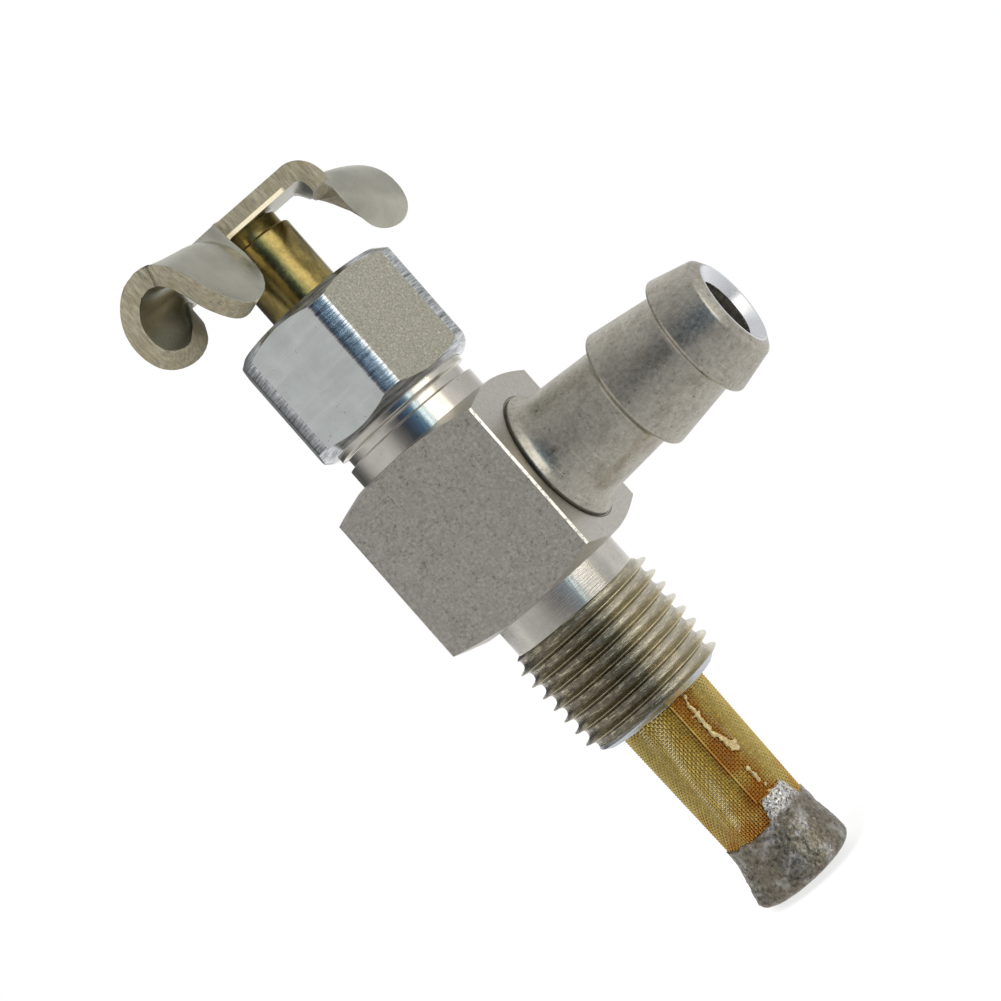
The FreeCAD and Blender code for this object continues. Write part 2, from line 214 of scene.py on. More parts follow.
class TapStrainerSizes(PropertyGroup):
    """Sizes of the woven strainer and its solder."""
    radius: length("Radius", "Outer radius of the gauze", 3.15)
    wire: length("Wire", "Thickness of the wires", 0.12)
    pitch: length("Wire pitch", "Distance between the wires", 0.18)
    top: length("Top", "Height of the gauze's upper end", -4.75)
    bottom: length("Bottom", "Height of the gauze's lower end", -19.6)
    tip_top: length("Tip top", "Height of the solder's upper edge", -16.9)
    flap_top: length("Flap top", "Height at which the overlapped seam starts", -7.85)
    flap_bottom: length("Flap bottom", "Height at which the overlapped seam ends", -15.4)
    tip_bottom: length("Tip bottom", "Height of the strainer's lower end", -20.9)
    tip_radius: length("Tip radius", "Radius of the solder at its upper edge", 3.2)
    tip_flare: length("Tip flare", "Largest radius of the solder", 3.75)
    tip_aside: length("Tip shift", "Distance by which the flare stands off the axis", 0.25)
    tip_floor: length("Tip floor", "Thickness of the solder at the closed end", 1.2)
    patch: length("Patch", "Height of the solder that ran up the seam", 1.6)
    patch_aside: turn("Patch direction", "Angle of that solder's middle from the seam's", 7)
    patch_half: turn("Patch half width", "Half the width of that solder", 24)
    patch_edge: turn("Patch edge", "Width over which that solder comes down", 2.2)
    lean_height: length("Lean height", "Height about which the strainer leans", -4.0)
    lean: turn("Lean", "Angle by which the strainer leans", 0.7)
    narrowing: ratio("Narrowing", "Share by which the lower end is narrower", 0.065)
    seam: turn("Seam", "Direction of the overlapped seam's middle", -43)
    flap: turn("Flap", "Half the width of the overlapped seam", 19)


class TapStageSizes(PropertyGroup):
    """Camera and floor."""
    distance: length("Distance", "Distance from the camera to the spindle", 128)
    height: length("Height", "Height of the camera", 7.7)
    aside: length("Aside", "Distance of the camera's line from the spindle", 0.87)
    focal: ratio("Focal length", "In picture widths", 2.147)
    roll: turn("Roll", "Roll of the camera", 41.3)
    azimuth: turn("Azimuth", "Direction that the camera looks from", 22.5)
    floor: length("Floor", "Height of the floor", -21.4)
    floor_radius: length("Floor radius", "Radius of the floor", 2000)
    tent: length("Tent radius", "Radius of the light tent", 450)


class TapColours(PropertyGroup):
    """Colours of the finishes."""
    plating: colour("Plating", "Pale plating of the body", 0.56, 0.535, 0.485)
    plating_warm: colour("Warm plating", "Stained areas of the plating", 0.44, 0.4, 0.335)
    plating_dark: colour("Pits", "Pits and stains in the plating", 0.12, 0.1, 0.075)
    nut: colour("Nut", "Smooth plating of the gland nut", 0.84, 0.88, 0.86)
    nut_grain: colour("Nut grain", "Frosted plating of the gland nut", 0.5, 0.48, 0.4)
    nut_land: colour("Nut land", "Turned corners of the gland nut", 0.62, 0.64, 0.66)
    spigot: colour("Spigot", "Worn plating of the spigot", 0.56, 0.53, 0.46)
    mouth: colour("Mouth", "Clean countersink of the spigot", 0.9, 0.92, 0.95)
    spigot_stain: colour("Spigot stain", "Stains on the spigot", 0.27, 0.24, 0.175)
    sheet: colour("Sheet", "Plating of the handle", 0.55, 0.54, 0.46)
    edge: colour("Cut edge", "Sheared edges of the handle", 0.3, 0.27, 0.195)
    edge_stain: colour("Edge stain", "Olive stains on the handle's edges", 0.24, 0.2, 0.11)
    brass: colour("Brass", "Bare brass", 0.7, 0.5, 0.16)
    rod_brass: colour("Rod", "Yellow surface of the spindle", 0.4, 0.31, 0.11)
    brass_dark: colour("Stained brass", "Stains on the spindle", 0.12, 0.095, 0.035)
    crest: colour("Thread crest", "Worn crests of the tank thread", 0.78, 0.7, 0.48)
    flank: colour("Thread flank", "Flanks of the tank thread", 0.62, 0.575, 0.45)
    # Used for painted shade as well as dirt: it darkens the thread's roots and one side of the
    # thread
    thread_shade_and_dirt: colour("Thread dirt", "Dirt in the roots of the thread", 0.1, 0.08, 0.05)
    thread_end: colour("Thread end", "Clean chamfer below the tank thread", 0.62, 0.66, 0.72)
    gauze: colour("Gauze", "Brass wire of the gauze", 0.85, 0.66, 0.22)
    gauze_warm: colour("Heated gauze", "Gauze near the solder", 0.66, 0.34, 0.08)
    solder: colour("Solder", "Dull solder of the tip", 0.21, 0.185, 0.145)
    solder_bright: colour("Bright solder", "Crinkled solder over the gauze", 0.95, 0.93, 0.9)
    smear: colour("Smear", "Bright solder along the seam", 0.95, 0.76, 0.38)
    packing: colour("Packing", "Graphited packing", 0.1, 0.1, 0.1)
    rubber: colour("Rubber", "Rubber of the seat pad", 0.05, 0.05, 0.05)


def in_mm(group):
    """The group's lengths in millimetres and its other values as they are."""
    values = {}
    for key, prop in group.bl_rna.properties.items():
        if key in ("rna_type", "name"):
            continue
        value = getattr(group, key)
        values[key] = value / MM if prop.unit == "LENGTH" else value
    return SimpleNamespace(**values)


def only(piece):
    """Select one piece alone, in object mode."""
    if bpy.context.mode != "OBJECT":
        bpy.ops.object.mode_set(mode="OBJECT")
    bpy.ops.object.select_all(action="DESELECT")
    piece.select_set(True)
    bpy.context.view_layer.objects.active = piece


def placed(name, data):
    """A new object in the scene."""
    item = bpy.data.objects.new(name, data)
    bpy.context.scene.collection.objects.link(item)
    return item


def drawn(name, points, edges, faces=()):
    """A new piece from points, edges and faces."""
    mesh = bpy.data.meshes.new(name)
    mesh.from_pydata(points, edges, faces)
    return placed(name, mesh)


def from_sheet(name, sheet):
    """A new piece from a sheet of faces, which is used up."""
    mesh = bpy.data.meshes.new(name)
    sheet.to_mesh(mesh)
    sheet.free()
    return placed(name, mesh)


def softened(outline, radius, parts=3):
    """The outline with its corners off the axis rounded; a third number is a point's own radius."""
    last = len(outline) - 1
    points = []
    for index, corner in enumerate(outline):
        here = Vector(corner[:2])
        own = corner[2] if len(corner) > 2 else radius
        if index in (0, last) or own == 0 or here.x < 1e-6:
            points.append(here)
            continue
        back = Vector(outline[index - 1][:2]) - here
        ahead = Vector(outline[index + 1][:2]) - here
        near = min(own, 0.45 * back.length, 0.45 * ahead.length)
        start = here + back.normalized() * near
        end = here + ahead.normalized() * near
        for share in (part / parts for part in range(parts + 1)):
            points.append(start.lerp(here, share).lerp(here.lerp(end, share), share))
    return [(point.x, point.y) for point in points]


def turned(name, outline, steps=SPIN_STEPS):
    """Spin an outline of (radius, height) points about the upright axis."""
    points = [(radius, 0, height) for radius, height in outline]
    edges = [(index, index + 1) for index in range(len(points) - 1)]
    if outline[0][0] > 1e-6:
        edges.append((len(points) - 1, 0))
    piece = drawn(name, points, edges)
    edit_all(piece)
    bpy.ops.mesh.spin(steps=steps, angle=2 * math.pi, center=(0, 0, 0), axis=(0, 0, 1))
    closed_up(WELD)
    return piece


def edit_all(piece):
    """Edit one piece with all of its mesh selected."""
    only(piece)
    bpy.ops.object.mode_set(mode="EDIT")
    bpy.ops.mesh.select_all(action="SELECT")


def closed_up(distance):
    """Join the near points of the mesh in edit mode and point its faces outwards."""
    bpy.ops.mesh.select_all(action="SELECT")
    bpy.ops.mesh.remove_doubles(threshold=distance)
    bpy.ops.mesh.normals_make_consistent(inside=False)
    bpy.ops.object.mode_set(mode="OBJECT")


def prism(name, outline, bottom, top):
    """An upright prism over an outline of (x, y) points."""
    count = len(outline)
    points = [(x, y, bottom) for x, y in outline] + [(x, y, top) for x, y in outline]
    sides = [(i, (i + 1) % count, (i + 1) % count + count, i + count) for i in range(count)]
    caps = [tuple(reversed(range(count))), tuple(range(count, 2 * count))]
    return drawn(name, points, [], sides + caps)


def rod(name, radius, bottom, top, steps):
    """An upright round bar."""
    return turned(name, [(0, bottom), (radius, bottom), (radius, top), (0, top)], steps)


def turned_blank(radius, face, low, high, chamfer, steps):
    """A turned bar with chamfered ends, to intersect a square or hexagon bar with."""
    return turned("ends", [
        (0, low), (face, low), (radius, low + chamfer), (radius, high - chamfer), (face, high),
        (0, high)], steps)


def moved(piece, matrix):
    """Place a piece by moving its mesh."""
    piece.data.transform(matrix)
    return piece


def along_x(piece, height):
    """Turn a piece made along +Z so that it runs along +X at that height."""
    return moved(piece, Matrix.Translation((0, 0, height)) @ Matrix.Rotation(math.pi / 2, 4, "Y"))


def shaped(piece, kind, **settings):
    """Add a modifier and apply it."""
    only(piece)
    modifier = piece.modifiers.new(kind.title(), kind)
    for key, value in settings.items():
        setattr(modifier, key, value)
    bpy.ops.object.modifier_apply(modifier=modifier.name)
    return piece


def combined(piece, tool, operation):
    """Cut, join or intersect a piece with another one, which is used up."""
    shaped(piece, "BOOLEAN", operation=operation, solver="EXACT", object=tool)
    bpy.data.objects.remove(tool)
    return piece


def finished(piece, body, nodes, materials, angle=32, flats=False):
    """Bring a piece to metres, shade it, dress it and tie it to its body."""
    moved(piece, Matrix.Scale(MM, 4))
    only(piece)
    bpy.ops.object.shade_smooth_by_angle(angle=math.radians(angle))
    if flats:
        shaped(piece, "WEIGHTED_NORMAL", weight=100, keep_sharp=True)
    for material in materials:
        piece.data.materials.append(material)
    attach(piece, body)
    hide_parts(*nodes)
    return piece


def dress(piece, choose):
    """Give every face the material that its middle and its direction call for."""
    for polygon in piece.data.polygons:
        polygon.material_index = choose(polygon.center / MM, polygon.normal)


class Finish:
    """A material's nodes, added and joined by short calls. Patterns are in millimetres."""

    def __init__(self, name, metal=1.0):
        self.material = bpy.data.materials.new(name)
        self.material.use_nodes = True
        self.tree = self.material.node_tree
        self.shader = self.tree.nodes["Principled BSDF"]
        self.shader.inputs["Metallic"].default_value = metal
        place = self.node("ShaderNodeTexCoord").outputs["Object"]
        scale = self.node("ShaderNodeVectorMath", operation="SCALE")
        scale.inputs["Scale"].default_value = 1 / MM
        self.join(place, scale.inputs[0])
        self.place = scale.outputs[0]

    def node(self, kind, **settings):
        """A new node with its settings."""
        node = self.tree.nodes.new(kind)
        for key, value in settings.items():
            setattr(node, key, value)
        return node

    def join(self, value, socket):
        """Link an output to a socket, or set the socket's own value."""
        if isinstance(value, bpy.types.NodeSocket):
            self.tree.links.new(value, socket)
        elif socket.type == "RGBA" and len(value) == 3:
            socket.default_value = (*value, 1)
        else:
            socket.default_value = value

    def stretched(self, x, y, z, turn=(0, 0, 0)):
        """The place, scaled along each axis, for drawn-out patterns."""
        node = self.node("ShaderNodeMapping")
        node.inputs["Scale"].default_value = (x, y, z)
        node.inputs["Rotation"].default_value = turn
        self.join(self.place, node.inputs["Vector"])
        return node.outputs[0]

    def noise(self, scale, detail=4, rough=0.55, place=None):
        """A cloudy pattern, at that many clouds a millimetre."""
        node = self.node("ShaderNodeTexNoise")
        for key, value in (("Scale", scale), ("Detail", detail), ("Roughness", rough)):
            node.inputs[key].default_value = value
        self.join(place or self.place, node.inputs["Vector"])
        return node.outputs["Fac"]

    def level(self, value, low, high, start=0.0, end=1.0):
        """The value from low to high as a share from start to end."""
        node = self.node("ShaderNodeMapRange")
        for key, number in zip(("From Min", "From Max", "To Min", "To Max"),
                               (low, high, start, end)):
            node.inputs[key].default_value = number
        self.join(value, node.inputs["Value"])
        return node.outputs[0]

    def patches(self, scale, detail, rough, low, high, share=1.0, place=None):
        """Where a cloudy pattern lies between two levels, as a share."""
        return self.level(self.noise(scale, detail, rough, place), low, high, 0, share)

    def sum(self, operation, first, second=0.0, third=0.0):
        """A calculation with up to three values."""
        node = self.node("ShaderNodeMath", operation=operation)
        for socket, value in zip(node.inputs, (first, second, third)):
            self.join(value, socket)
        return node.outputs[0]

    def times(self, first, second):
        """One value multiplied by another."""
        return self.sum("MULTIPLY", first, second)

    def plus(self, first, second):
        """One value and another together."""
        return self.sum("ADD", first, second)

    def minus(self, first, second):
        """One value less another."""
        return self.sum("SUBTRACT", first, second)

    def most(self, first, second):
        """The larger of two values."""
        return self.sum("MAXIMUM", first, second)

    def apart(self, first, second):
        """How far two values lie apart."""
        return self.sum("ABSOLUTE", self.minus(first, second))

    def reach(self, first, second):
        """Distance from the origin of two directions."""
        return self.sum("SQRT", self.plus(self.times(first, first), self.times(second, second)))

    def split(self):
        """The place's three directions."""
        node = self.node("ShaderNodeSeparateXYZ")
        self.join(self.place, node.inputs[0])
        return node.outputs

    def facing(self, angle):
        """Distance from the spindle's axis towards a direction."""
        x, y = self.split()[:2]
        return self.plus(self.times(x, math.cos(angle)), self.times(y, math.sin(angle)))

    def mix(self, share, first, second):
        """One colour over another by a share."""
        node = self.node("ShaderNodeMix", data_type="RGBA")
        self.join(share, node.inputs["Factor"])
        self.join(first, node.inputs["A"])
        self.join(second, node.inputs["B"])
        return node.outputs["Result"]

    def over(self, tone, *layers):
        """A colour with others laid over it, each by its share."""
        for share, colour in layers:
            tone = self.mix(share, tone, colour)
        return tone

    def shades(self, pattern, tint, dark, light, low=0.35, high=0.65):
        """A colour between two of its shades, by a pattern."""
        return self.mix(self.level(pattern, low, high), tinted(tint, dark), tinted(tint, light))

    def bump(self, height, strength, distance=0.02, under=None):
        """Relief of that many millimetres."""
        node = self.node("ShaderNodeBump")
        node.inputs["Strength"].default_value = strength
        node.inputs["Distance"].default_value = distance * MM
        self.join(height, node.inputs["Height"])
        if under is not None:
            self.join(under, node.inputs["Normal"])
        return node.outputs["Normal"]

    def glow(self, colour):
        """Light of one colour, as a shader's output."""
        node = self.node("ShaderNodeEmission")
        self.join(colour, node.inputs["Color"])
        return node.outputs[0]

    def shine(self, output):
        """The material with another shader's output in place of the plain one."""
        self.join(output, self.tree.nodes["Material Output"].inputs["Surface"])
        return self.material

    def done(self, colour, rough, normal=None):
        """The material with its colour, roughness and relief."""
        self.join(colour, self.shader.inputs["Base Color"])
        self.join(rough, self.shader.inputs["Roughness"])
        if normal is not None:
            self.join(normal, self.shader.inputs["Normal"])
        return self.material


def tinted(tint, share):
    """A lighter or darker shade of a colour."""
    return [min(value * share, 1) for value in tint]


def pitted_plating(name, c):
    """Pale plating with fine dark pits, stains and scratches."""
    f = Finish(name)
    grain = f.noise(4.5, 5, 0.75)
    where = f.level(f.noise(0.7, 4, 0.6), 0.38, 0.62, 0.45, 1)
    pit = f.times(f.patches(4.2, 6, 0.8, 0.545, 0.61), where)
    along = f.stretched(1, 1, 14, turn=(0.3, 0.8, 0.2))
    scratch = f.patches(1.6, 3, 0.6, 0.66, 0.7, 0.6, along)
    tone = f.over(f.shades(grain, c.plating, 0.85, 1.4),
                  (f.patches(1.7, 4, 0.7, 0.4, 0.68, 0.45), c.plating_warm),
                  (f.most(f.times(pit, 0.62), scratch), c.plating_dark))
    relief = f.minus(f.times(grain, 0.5), f.most(pit, scratch))
    return f.done(tone, f.level(grain, 0.2, 0.8, 0.38, 0.55), f.bump(relief, 0.6, 0.025))


def turned_plating(name, tint, rough, lines, relief=0.25):
    """Plating over fine rings left by the lathe."""
    f = Finish(name)
    rings = f.noise(lines, 4, 0.7, f.stretched(0.05, 0.05, 1))
    tone = f.over(tint, (f.patches(0.7, 5, 0.6, 0.35, 0.7), tinted(tint, 0.85)),
                  (f.patches(3.2, 4, 0.7, 0.66, 0.72, 0.7), tinted(tint, 0.2)))
    surface = f.level(rings, 0.3, 0.7, rough * 0.75, rough * 1.4)
    return f.done(tone, surface, f.bump(rings, relief, 0.01))


def worn_edge(name, tint):
    """Bare metal along an edge, with nicks."""
    f = Finish(name)
    nicks = f.noise(5, 5, 0.75)
    tone = f.shades(nicks, tint, 0.8, 1.8, 0.36, 0.5)
    return f.done(tone, 0.32, f.bump(nicks, 0.2, 0.01))


class TapOperator:
    """What the operators of the pieces share."""
    bl_options = {"REGISTER", "UNDO"}

    def execute(self, context):
        """Build what the operator is for."""
        self.build(context.scene)
        return {"FINISHED"}


class OBJECT_OT_tap_body(TapOperator, Operator):
    """Square block with its gland neck, shank and passages"""
    bl_idname = "object.tap_body"
    bl_label = "Body"

    def build(self, scene):
        s = in_mm(scene.tap_body)
        inside = in_mm(scene.tap_passages)
        low = s.bottom
        high = s.bottom + s.height
        half = s.across / 2
        edge = half - s.worn
        block = prism("body_block", [
            (edge, -half), (half, -edge), (half, edge), (edge, half), (-edge, half), (-half, edge),
            (-half, -edge), (-edge, -half)], low - OVERLAP, high + OVERLAP)
        corner = s.across / math.sqrt(2) + 0.01
        ends = turned_blank(corner, s.end_radius, low, high, s.chamfer, 160)
        combined(block, ends, "INTERSECT")
        groove = high + s.collar
        above = groove + s.groove_width
        neck = turned("neck", softened([
            (0, -s.lap), (s.shank, -s.lap, 0), (s.shank, high, 0), (s.neck, high, 0),
            (s.neck, groove), (s.groove, groove + s.groove_slope), (s.groove, above),
            (s.neck, above + s.groove_slope), (s.neck, s.neck_top - s.neck_chamfer),
            (s.neck - s.neck_chamfer, s.neck_top), (0, s.neck_top)], 0.07))
        combined(block, neck, "UNION")
        end = s.neck_top + OVERLAP
        passages = turned("passages", [
            (0, -2), (inside.inlet, -2), (inside.inlet, inside.seat_bottom),
            (inside.seat_bore, inside.seat_bottom), (inside.seat_bore, inside.seat),
            (inside.seat_land, inside.seat), (inside.seat_land, inside.seat_floor),
            (inside.chamber, inside.seat_floor), (inside.chamber, inside.screw_bottom),
            (inside.screw, inside.screw_bottom), (inside.screw, inside.packing_floor),
            (inside.packing, inside.packing_floor), (inside.packing, end), (0, end)], 64)
        combined(block, passages, "DIFFERENCE")
        for name, radius, first, last in (("socket", inside.socket, inside.socket_floor, 8),
                                          ("port", inside.port, 0, 5)):
            combined(block, along_x(rod(name, radius, first, last, 64), s.outlet), "DIFFERENCE")
        c = scene.tap_colours
        block.data.materials.clear()
        finished(block, BODY, [BODY], [
            pitted_plating("pitted_face", c), self.port_face(s, c),
            turned_plating("turned_neck", tinted(c.plating, 1.3), 0.055, 18, 0.4),
            worn_edge("worn_edge", c.plating)], flats=True)
        pitted, port, round_part, edges = range(4)

        def choose(middle, normal):
            """Which of the four finishes a face has."""
            beside = math.hypot(middle.x, middle.y) > s.neck + 0.02
            if not (low - 0.01 < middle.z < high + 0.01 and beside):
                return round_part
            if abs(normal.y) > 0.95:
                return pitted
            return port if abs(normal.x) > 0.95 or abs(normal.z) > 0.3 else edges

        dress(block, choose)

    def port_face(self, s, c):
        """Smoother plating with a dark joint round the spigot's collar."""
        f = Finish("port_face")
        x, y, z = f.split()
        ring = f.reach(y, f.minus(z, s.outlet))
        joint = f.times(f.level(f.apart(ring, s.gap), 0.01, 0.06, 1, 0), f.level(x, 0, 0.5))
        spots = f.patches(2.6, 5, 0.75, 0.62, 0.7, 0.6)
        fine = f.noise(5, 5, 0.7)
        tone = f.over(f.shades(fine, c.plating, 1.0, 1.3), (f.most(joint, spots), c.plating_dark))
        return f.done(tone, f.level(fine, 0.3, 0.7, 0.3, 0.42), f.bump(fine, 0.3, 0.01))


class OBJECT_OT_tap_thread(TapOperator, Operator):
    """Tapered tank thread below the shank"""
    bl_idname = "object.tap_thread"
    bl_label = "Tank thread"

    def build(self, scene):
        s = in_mm(scene.tap_thread)
        body = in_mm(scene.tap_body)
        inside = in_mm(scene.tap_passages)
        # Shares of the pitch and of the depth, from one crest to the next
        form = [(0, 1), (0.04, 1), (0.1, 0.62), (0.17, 0.26), (0.26, 0.06), (0.36, 0.0),
                (0.5, 0.0), (0.62, 0.03), (0.76, 0.13), (0.87, 0.38), (0.95, 0.75), (1, 1)]
        # The thread is drawn past both of its ends, where it is cut off below
        turns = math.ceil(s.reach / s.pitch) + 3
        start = -s.reach - 1.5 * s.pitch
        points = [(s.crest - s.depth * (1 - high), 0, start + s.pitch * (1 - down))
                  for down, high in form]
        thread = drawn("tank_thread", points, [(i, i + 1) for i in range(len(points) - 1)])
        shaped(thread, "SCREW", axis="Z", angle=2 * math.pi, screw_offset=s.pitch,
               iterations=turns, steps=SPIN_STEPS, render_steps=SPIN_STEPS)
        for vertex in thread.data.vertices:
            place = vertex.co
            radius = math.hypot(place.x, place.y)
            wanted = radius + place.z * s.taper
            from_end = (place.z + s.reach) / s.end_chamfer
            wanted = min(wanted, s.end + (s.end_crest - s.end) * max(from_end, 0))
            from_top = max(-place.z, 0) / s.run_in
            wanted = min(wanted, body.shank + s.start + (s.crest - body.shank) * from_top)
            place.x *= wanted / radius
            place.y *= wanted / radius
        edit_all(thread)
        bpy.ops.mesh.remove_doubles(threshold=WELD)
        for height, up in ((0, 1), (-s.reach, -1)):
            bpy.ops.mesh.select_all(action="SELECT")
            bpy.ops.mesh.bisect(plane_co=(0, 0, height), plane_no=(0, 0, up),
                                clear_outer=True, use_fill=True)
        closed_up(WELD)
        bores = turned("bores", [
            (0, -s.reach - OVERLAP), (inside.strainer, -s.reach - OVERLAP),
            (inside.strainer, inside.strainer_top), (inside.inlet, inside.strainer_top),
            (inside.inlet, OVERLAP), (0, OVERLAP)], 64)
        combined(thread, bores, "DIFFERENCE")
        c = scene.tap_colours
        f = Finish("thread_plating")
        x, y, z = f.split()
        crest = f.sum("MULTIPLY_ADD", z, s.taper, s.crest)
        depth = f.sum("DIVIDE", f.minus(crest, f.reach(x, y)), s.depth)
        aside = f.facing(HANDLE_TURN)
        ragged = f.level(f.noise(2.2, 6, 0.7), 0.2, 0.8, -0.45, 0.45)
        # Darker in the roots, partly dirt and partly painted shade, and stronger towards one side
        # of the thread
        dirt = f.times(f.level(f.plus(depth, ragged), 0.35, 1.1), f.level(aside, 2.6, -1, 0.3, 1))
        fine = f.noise(10, 4, 0.8, f.stretched(0.1, 0.1, 1))
        chamfer = s.end_chamfer - s.reach
        tone = f.over(c.crest, (f.level(depth, 0.02, 0.2), c.flank),
                      # Painted shade: this layer darkens the thread towards one side
                      (f.level(aside, 2.4, 0.8, 0, 0.35), c.thread_shade_and_dirt),
                      (f.times(dirt, 0.75), c.thread_shade_and_dirt),
                      (f.level(fine, 0.54, 0.62, 0, 0.8), tinted(c.crest, 1.2)),
                      (f.level(z, chamfer, chamfer - 0.1), c.thread_end))
        normal = f.bump(f.noise(4, 5, 0.7), 0.3, 0.03)
        finished(thread, BODY, [BODY],
                 [f.done(tone, f.level(dirt, 0, 1, 0.12, 0.28), f.bump(fine, 1, 0.03, normal))])


class OBJECT_OT_tap_nut(TapOperator, Operator):
    """Hexagon gland nut"""
    bl_idname = "object.tap_nut"
    bl_label = "Gland nut"

    def build(self, scene):
        s = in_mm(scene.tap_nut)
        top = s.bottom + s.height
        half = s.across / 2
        flat = math.acos(half / s.corner)
        along = s.corner * math.sin(flat) - s.worn
        land = math.pi / 6 - flat - 0.6 * s.worn / s.corner
        # Each corner has a flat's end, the points of its land and the next flat's end
        outline = []
        for corner in range(6):
            middle = s.turn + corner * math.pi / 3
            for side in (-1, 1):
                facing = middle + side * math.pi / 6
                edge = (half * math.cos(facing) + side * along * math.sin(facing),
                        half * math.sin(facing) - side * along * math.cos(facing))
                arc = [(s.corner * math.cos(middle + side * land * part),
                        s.corner * math.sin(middle + side * land * part)) for part in (1, 0.4)]
                outline += [edge] + arc if side < 0 else arc[::-1] + [edge]
        nut = prism("nut_hexagon", outline, s.bottom - OVERLAP, top + OVERLAP)
        ends = turned_blank(s.corner + 0.01, s.face, s.bottom, top, s.chamfer, 180)
        combined(nut, ends, "INTERSECT")
        bores = turned("bores", [
            (0, s.bottom - OVERLAP), (s.bore, s.bottom - OVERLAP), (s.bore, top - s.wall),
            (s.hole, top - s.wall), (s.hole, top + OVERLAP), (0, top + OVERLAP)])
        combined(nut, bores, "DIFFERENCE")
        c = scene.tap_colours
        smooth = turned_plating("nut_smooth", c.nut, 0.3, 3, 0.1)
        f = Finish("nut_land")
        marks = f.noise(9, 5, 0.8, f.stretched(0.06, 0.06, 1))
        tone = f.shades(marks, c.nut_land, 0.35, 1.4, 0.38, 0.62)
        land = f.done(tone, 0.12, f.bump(marks, 0.6, 0.02))
        f = Finish("nut_frosted")
        grain = f.noise(9, 5, 0.85)
        # The brightest specks, at twice the grain's colour, are painted glints on the frosted
        # plating
        tone = f.over(f.shades(grain, c.nut_grain, 0.65, 1.3, 0.4, 0.6),
                      (f.level(grain, 0.6, 0.66), tinted(c.nut_grain, 2)))
        frosted = f.done(tone, f.level(grain, 0.3, 0.7, 0.3, 0.5), f.bump(grain, 0.8, 0.05))
        finished(nut, BODY, ["gland_nut"], [smooth, frosted, land], flats=True)
        on_smooth, on_frosted, on_land = range(3)

        def choose(middle, normal):
            """Which of the three finishes a face has; the flats by the outlet are frosted."""
            facing = math.degrees(math.atan2(normal.y, normal.x))
            off_flat = abs((facing - math.degrees(s.turn)) % 60 - 30)
            if abs(normal.z) > 0.3 or off_flat > 5:
                return on_land
            return on_frosted if -60 < facing < 60 else on_smooth

        dress(nut, choose)


def sloped(piece, above, tilt, turn):
    """Tip the part of a piece above a height so that it follows the handle's bar."""
    for vertex in piece.data.vertices:
        place = vertex.co
        if place.z > above:
            place.z += tilt * (place.y * math.cos(turn) - place.x * math.sin(turn))
    return piece


class OBJECT_OT_tap_spindle(TapOperator, Operator):
    """Spindle, staked through the handle"""
    bl_idname = "object.tap_spindle"
    bl_label = "Spindle"

    def build(self, scene):
        s = in_mm(scene.tap_spindle)
        handle = in_mm(scene.tap_handle)
        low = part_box(STEM)[0].z / MM
        tilt = handle.climb / (2 * handle.half_width)
        seat = handle.height + handle.climb / 2 - s.neck * tilt - FIT_GAP
        top = handle.height + handle.thickness + handle.climb / 2 + s.stake_height
        spindle = turned("spindle_rod", softened([
            (0, s.pad_hole_top), (s.pad_hole, s.pad_hole_top, 0), (s.pad_hole, low, 0),
            (s.lower, low), (s.lower, s.screw_bottom), (s.screw, s.screw_bottom),
            (s.screw, s.screw_top), (s.radius, s.screw_top), (s.radius, s.shoulder, 0.12),
            (s.neck, s.shoulder + 0.03), (s.neck, seat, 0),
            (s.tenon, seat, 0), (s.tenon, top - s.stake_depth, 0), (s.stake, top, 0.05),
            (0, top)], 0.06))
        sloped(spindle, top - s.stake_depth + 0.01, tilt, HANDLE_TURN)
        c = scene.tap_colours
        f = Finish("spindle_brass")
        rings = f.noise(16, 4, 0.7, f.stretched(0.06, 0.06, 1))
        stain = f.patches(0.9, 6, 0.65, 0.39, 0.58, 0.7, f.stretched(1, 1, 0.6))
        fine = f.noise(3.5, 5, 0.75)
        tone = f.over(f.shades(fine, c.rod_brass, 0.8, 1.15), (stain, c.brass_dark))
        rough = f.level(fine, 0.3, 0.7, 0.13, 0.28)
        finished(spindle, STEM, ["spindle"],
                 [f.done(tone, rough, f.bump(rings, 0.3, 0.012))])


def smoothed(points, count, shorter=0.0):
    """Points at even steps along a smooth line, which ends that much before the last point."""
    points = np.array(points, float)
    steps = np.r_[0, np.cumsum(np.linalg.norm(np.diff(points, axis=0), axis=1))]
    smooth = through(steps, points, np.linspace(0, steps[-1], 200))
    walked = np.r_[0, np.cumsum(np.linalg.norm(np.diff(smooth, axis=0), axis=1))]
    wanted = np.linspace(0, walked[-1] - shorter, count)
    return np.stack([np.interp(wanted, walked, smooth[:, axis])
                     for axis in range(points.shape[1])], 1)


def through(keys, values, at):
    """A smooth curve through the values at their keys, read at other places."""
    keys = np.array(keys, float)
    values = np.array(values, float)
    slopes = np.gradient(values, keys, axis=0)
    index = np.clip(np.searchsorted(keys, at, side="right") - 1, 0, len(keys) - 2)
    wide = keys[index + 1] - keys[index]
    share = (at - keys[index]) / wide
    shape = [-1] + [1] * (values.ndim - 1)
    share = np.reshape(share, shape)
    wide = np.reshape(wide, shape)
    a, b = values[index], values[index + 1]
    da, db = slopes[index] * wide, slopes[index + 1] * wide
    return (a + da * share + (3 * (b - a) - 2 * da - db) * share ** 2
            + (2 * (a - b) + da + db) * share ** 3)


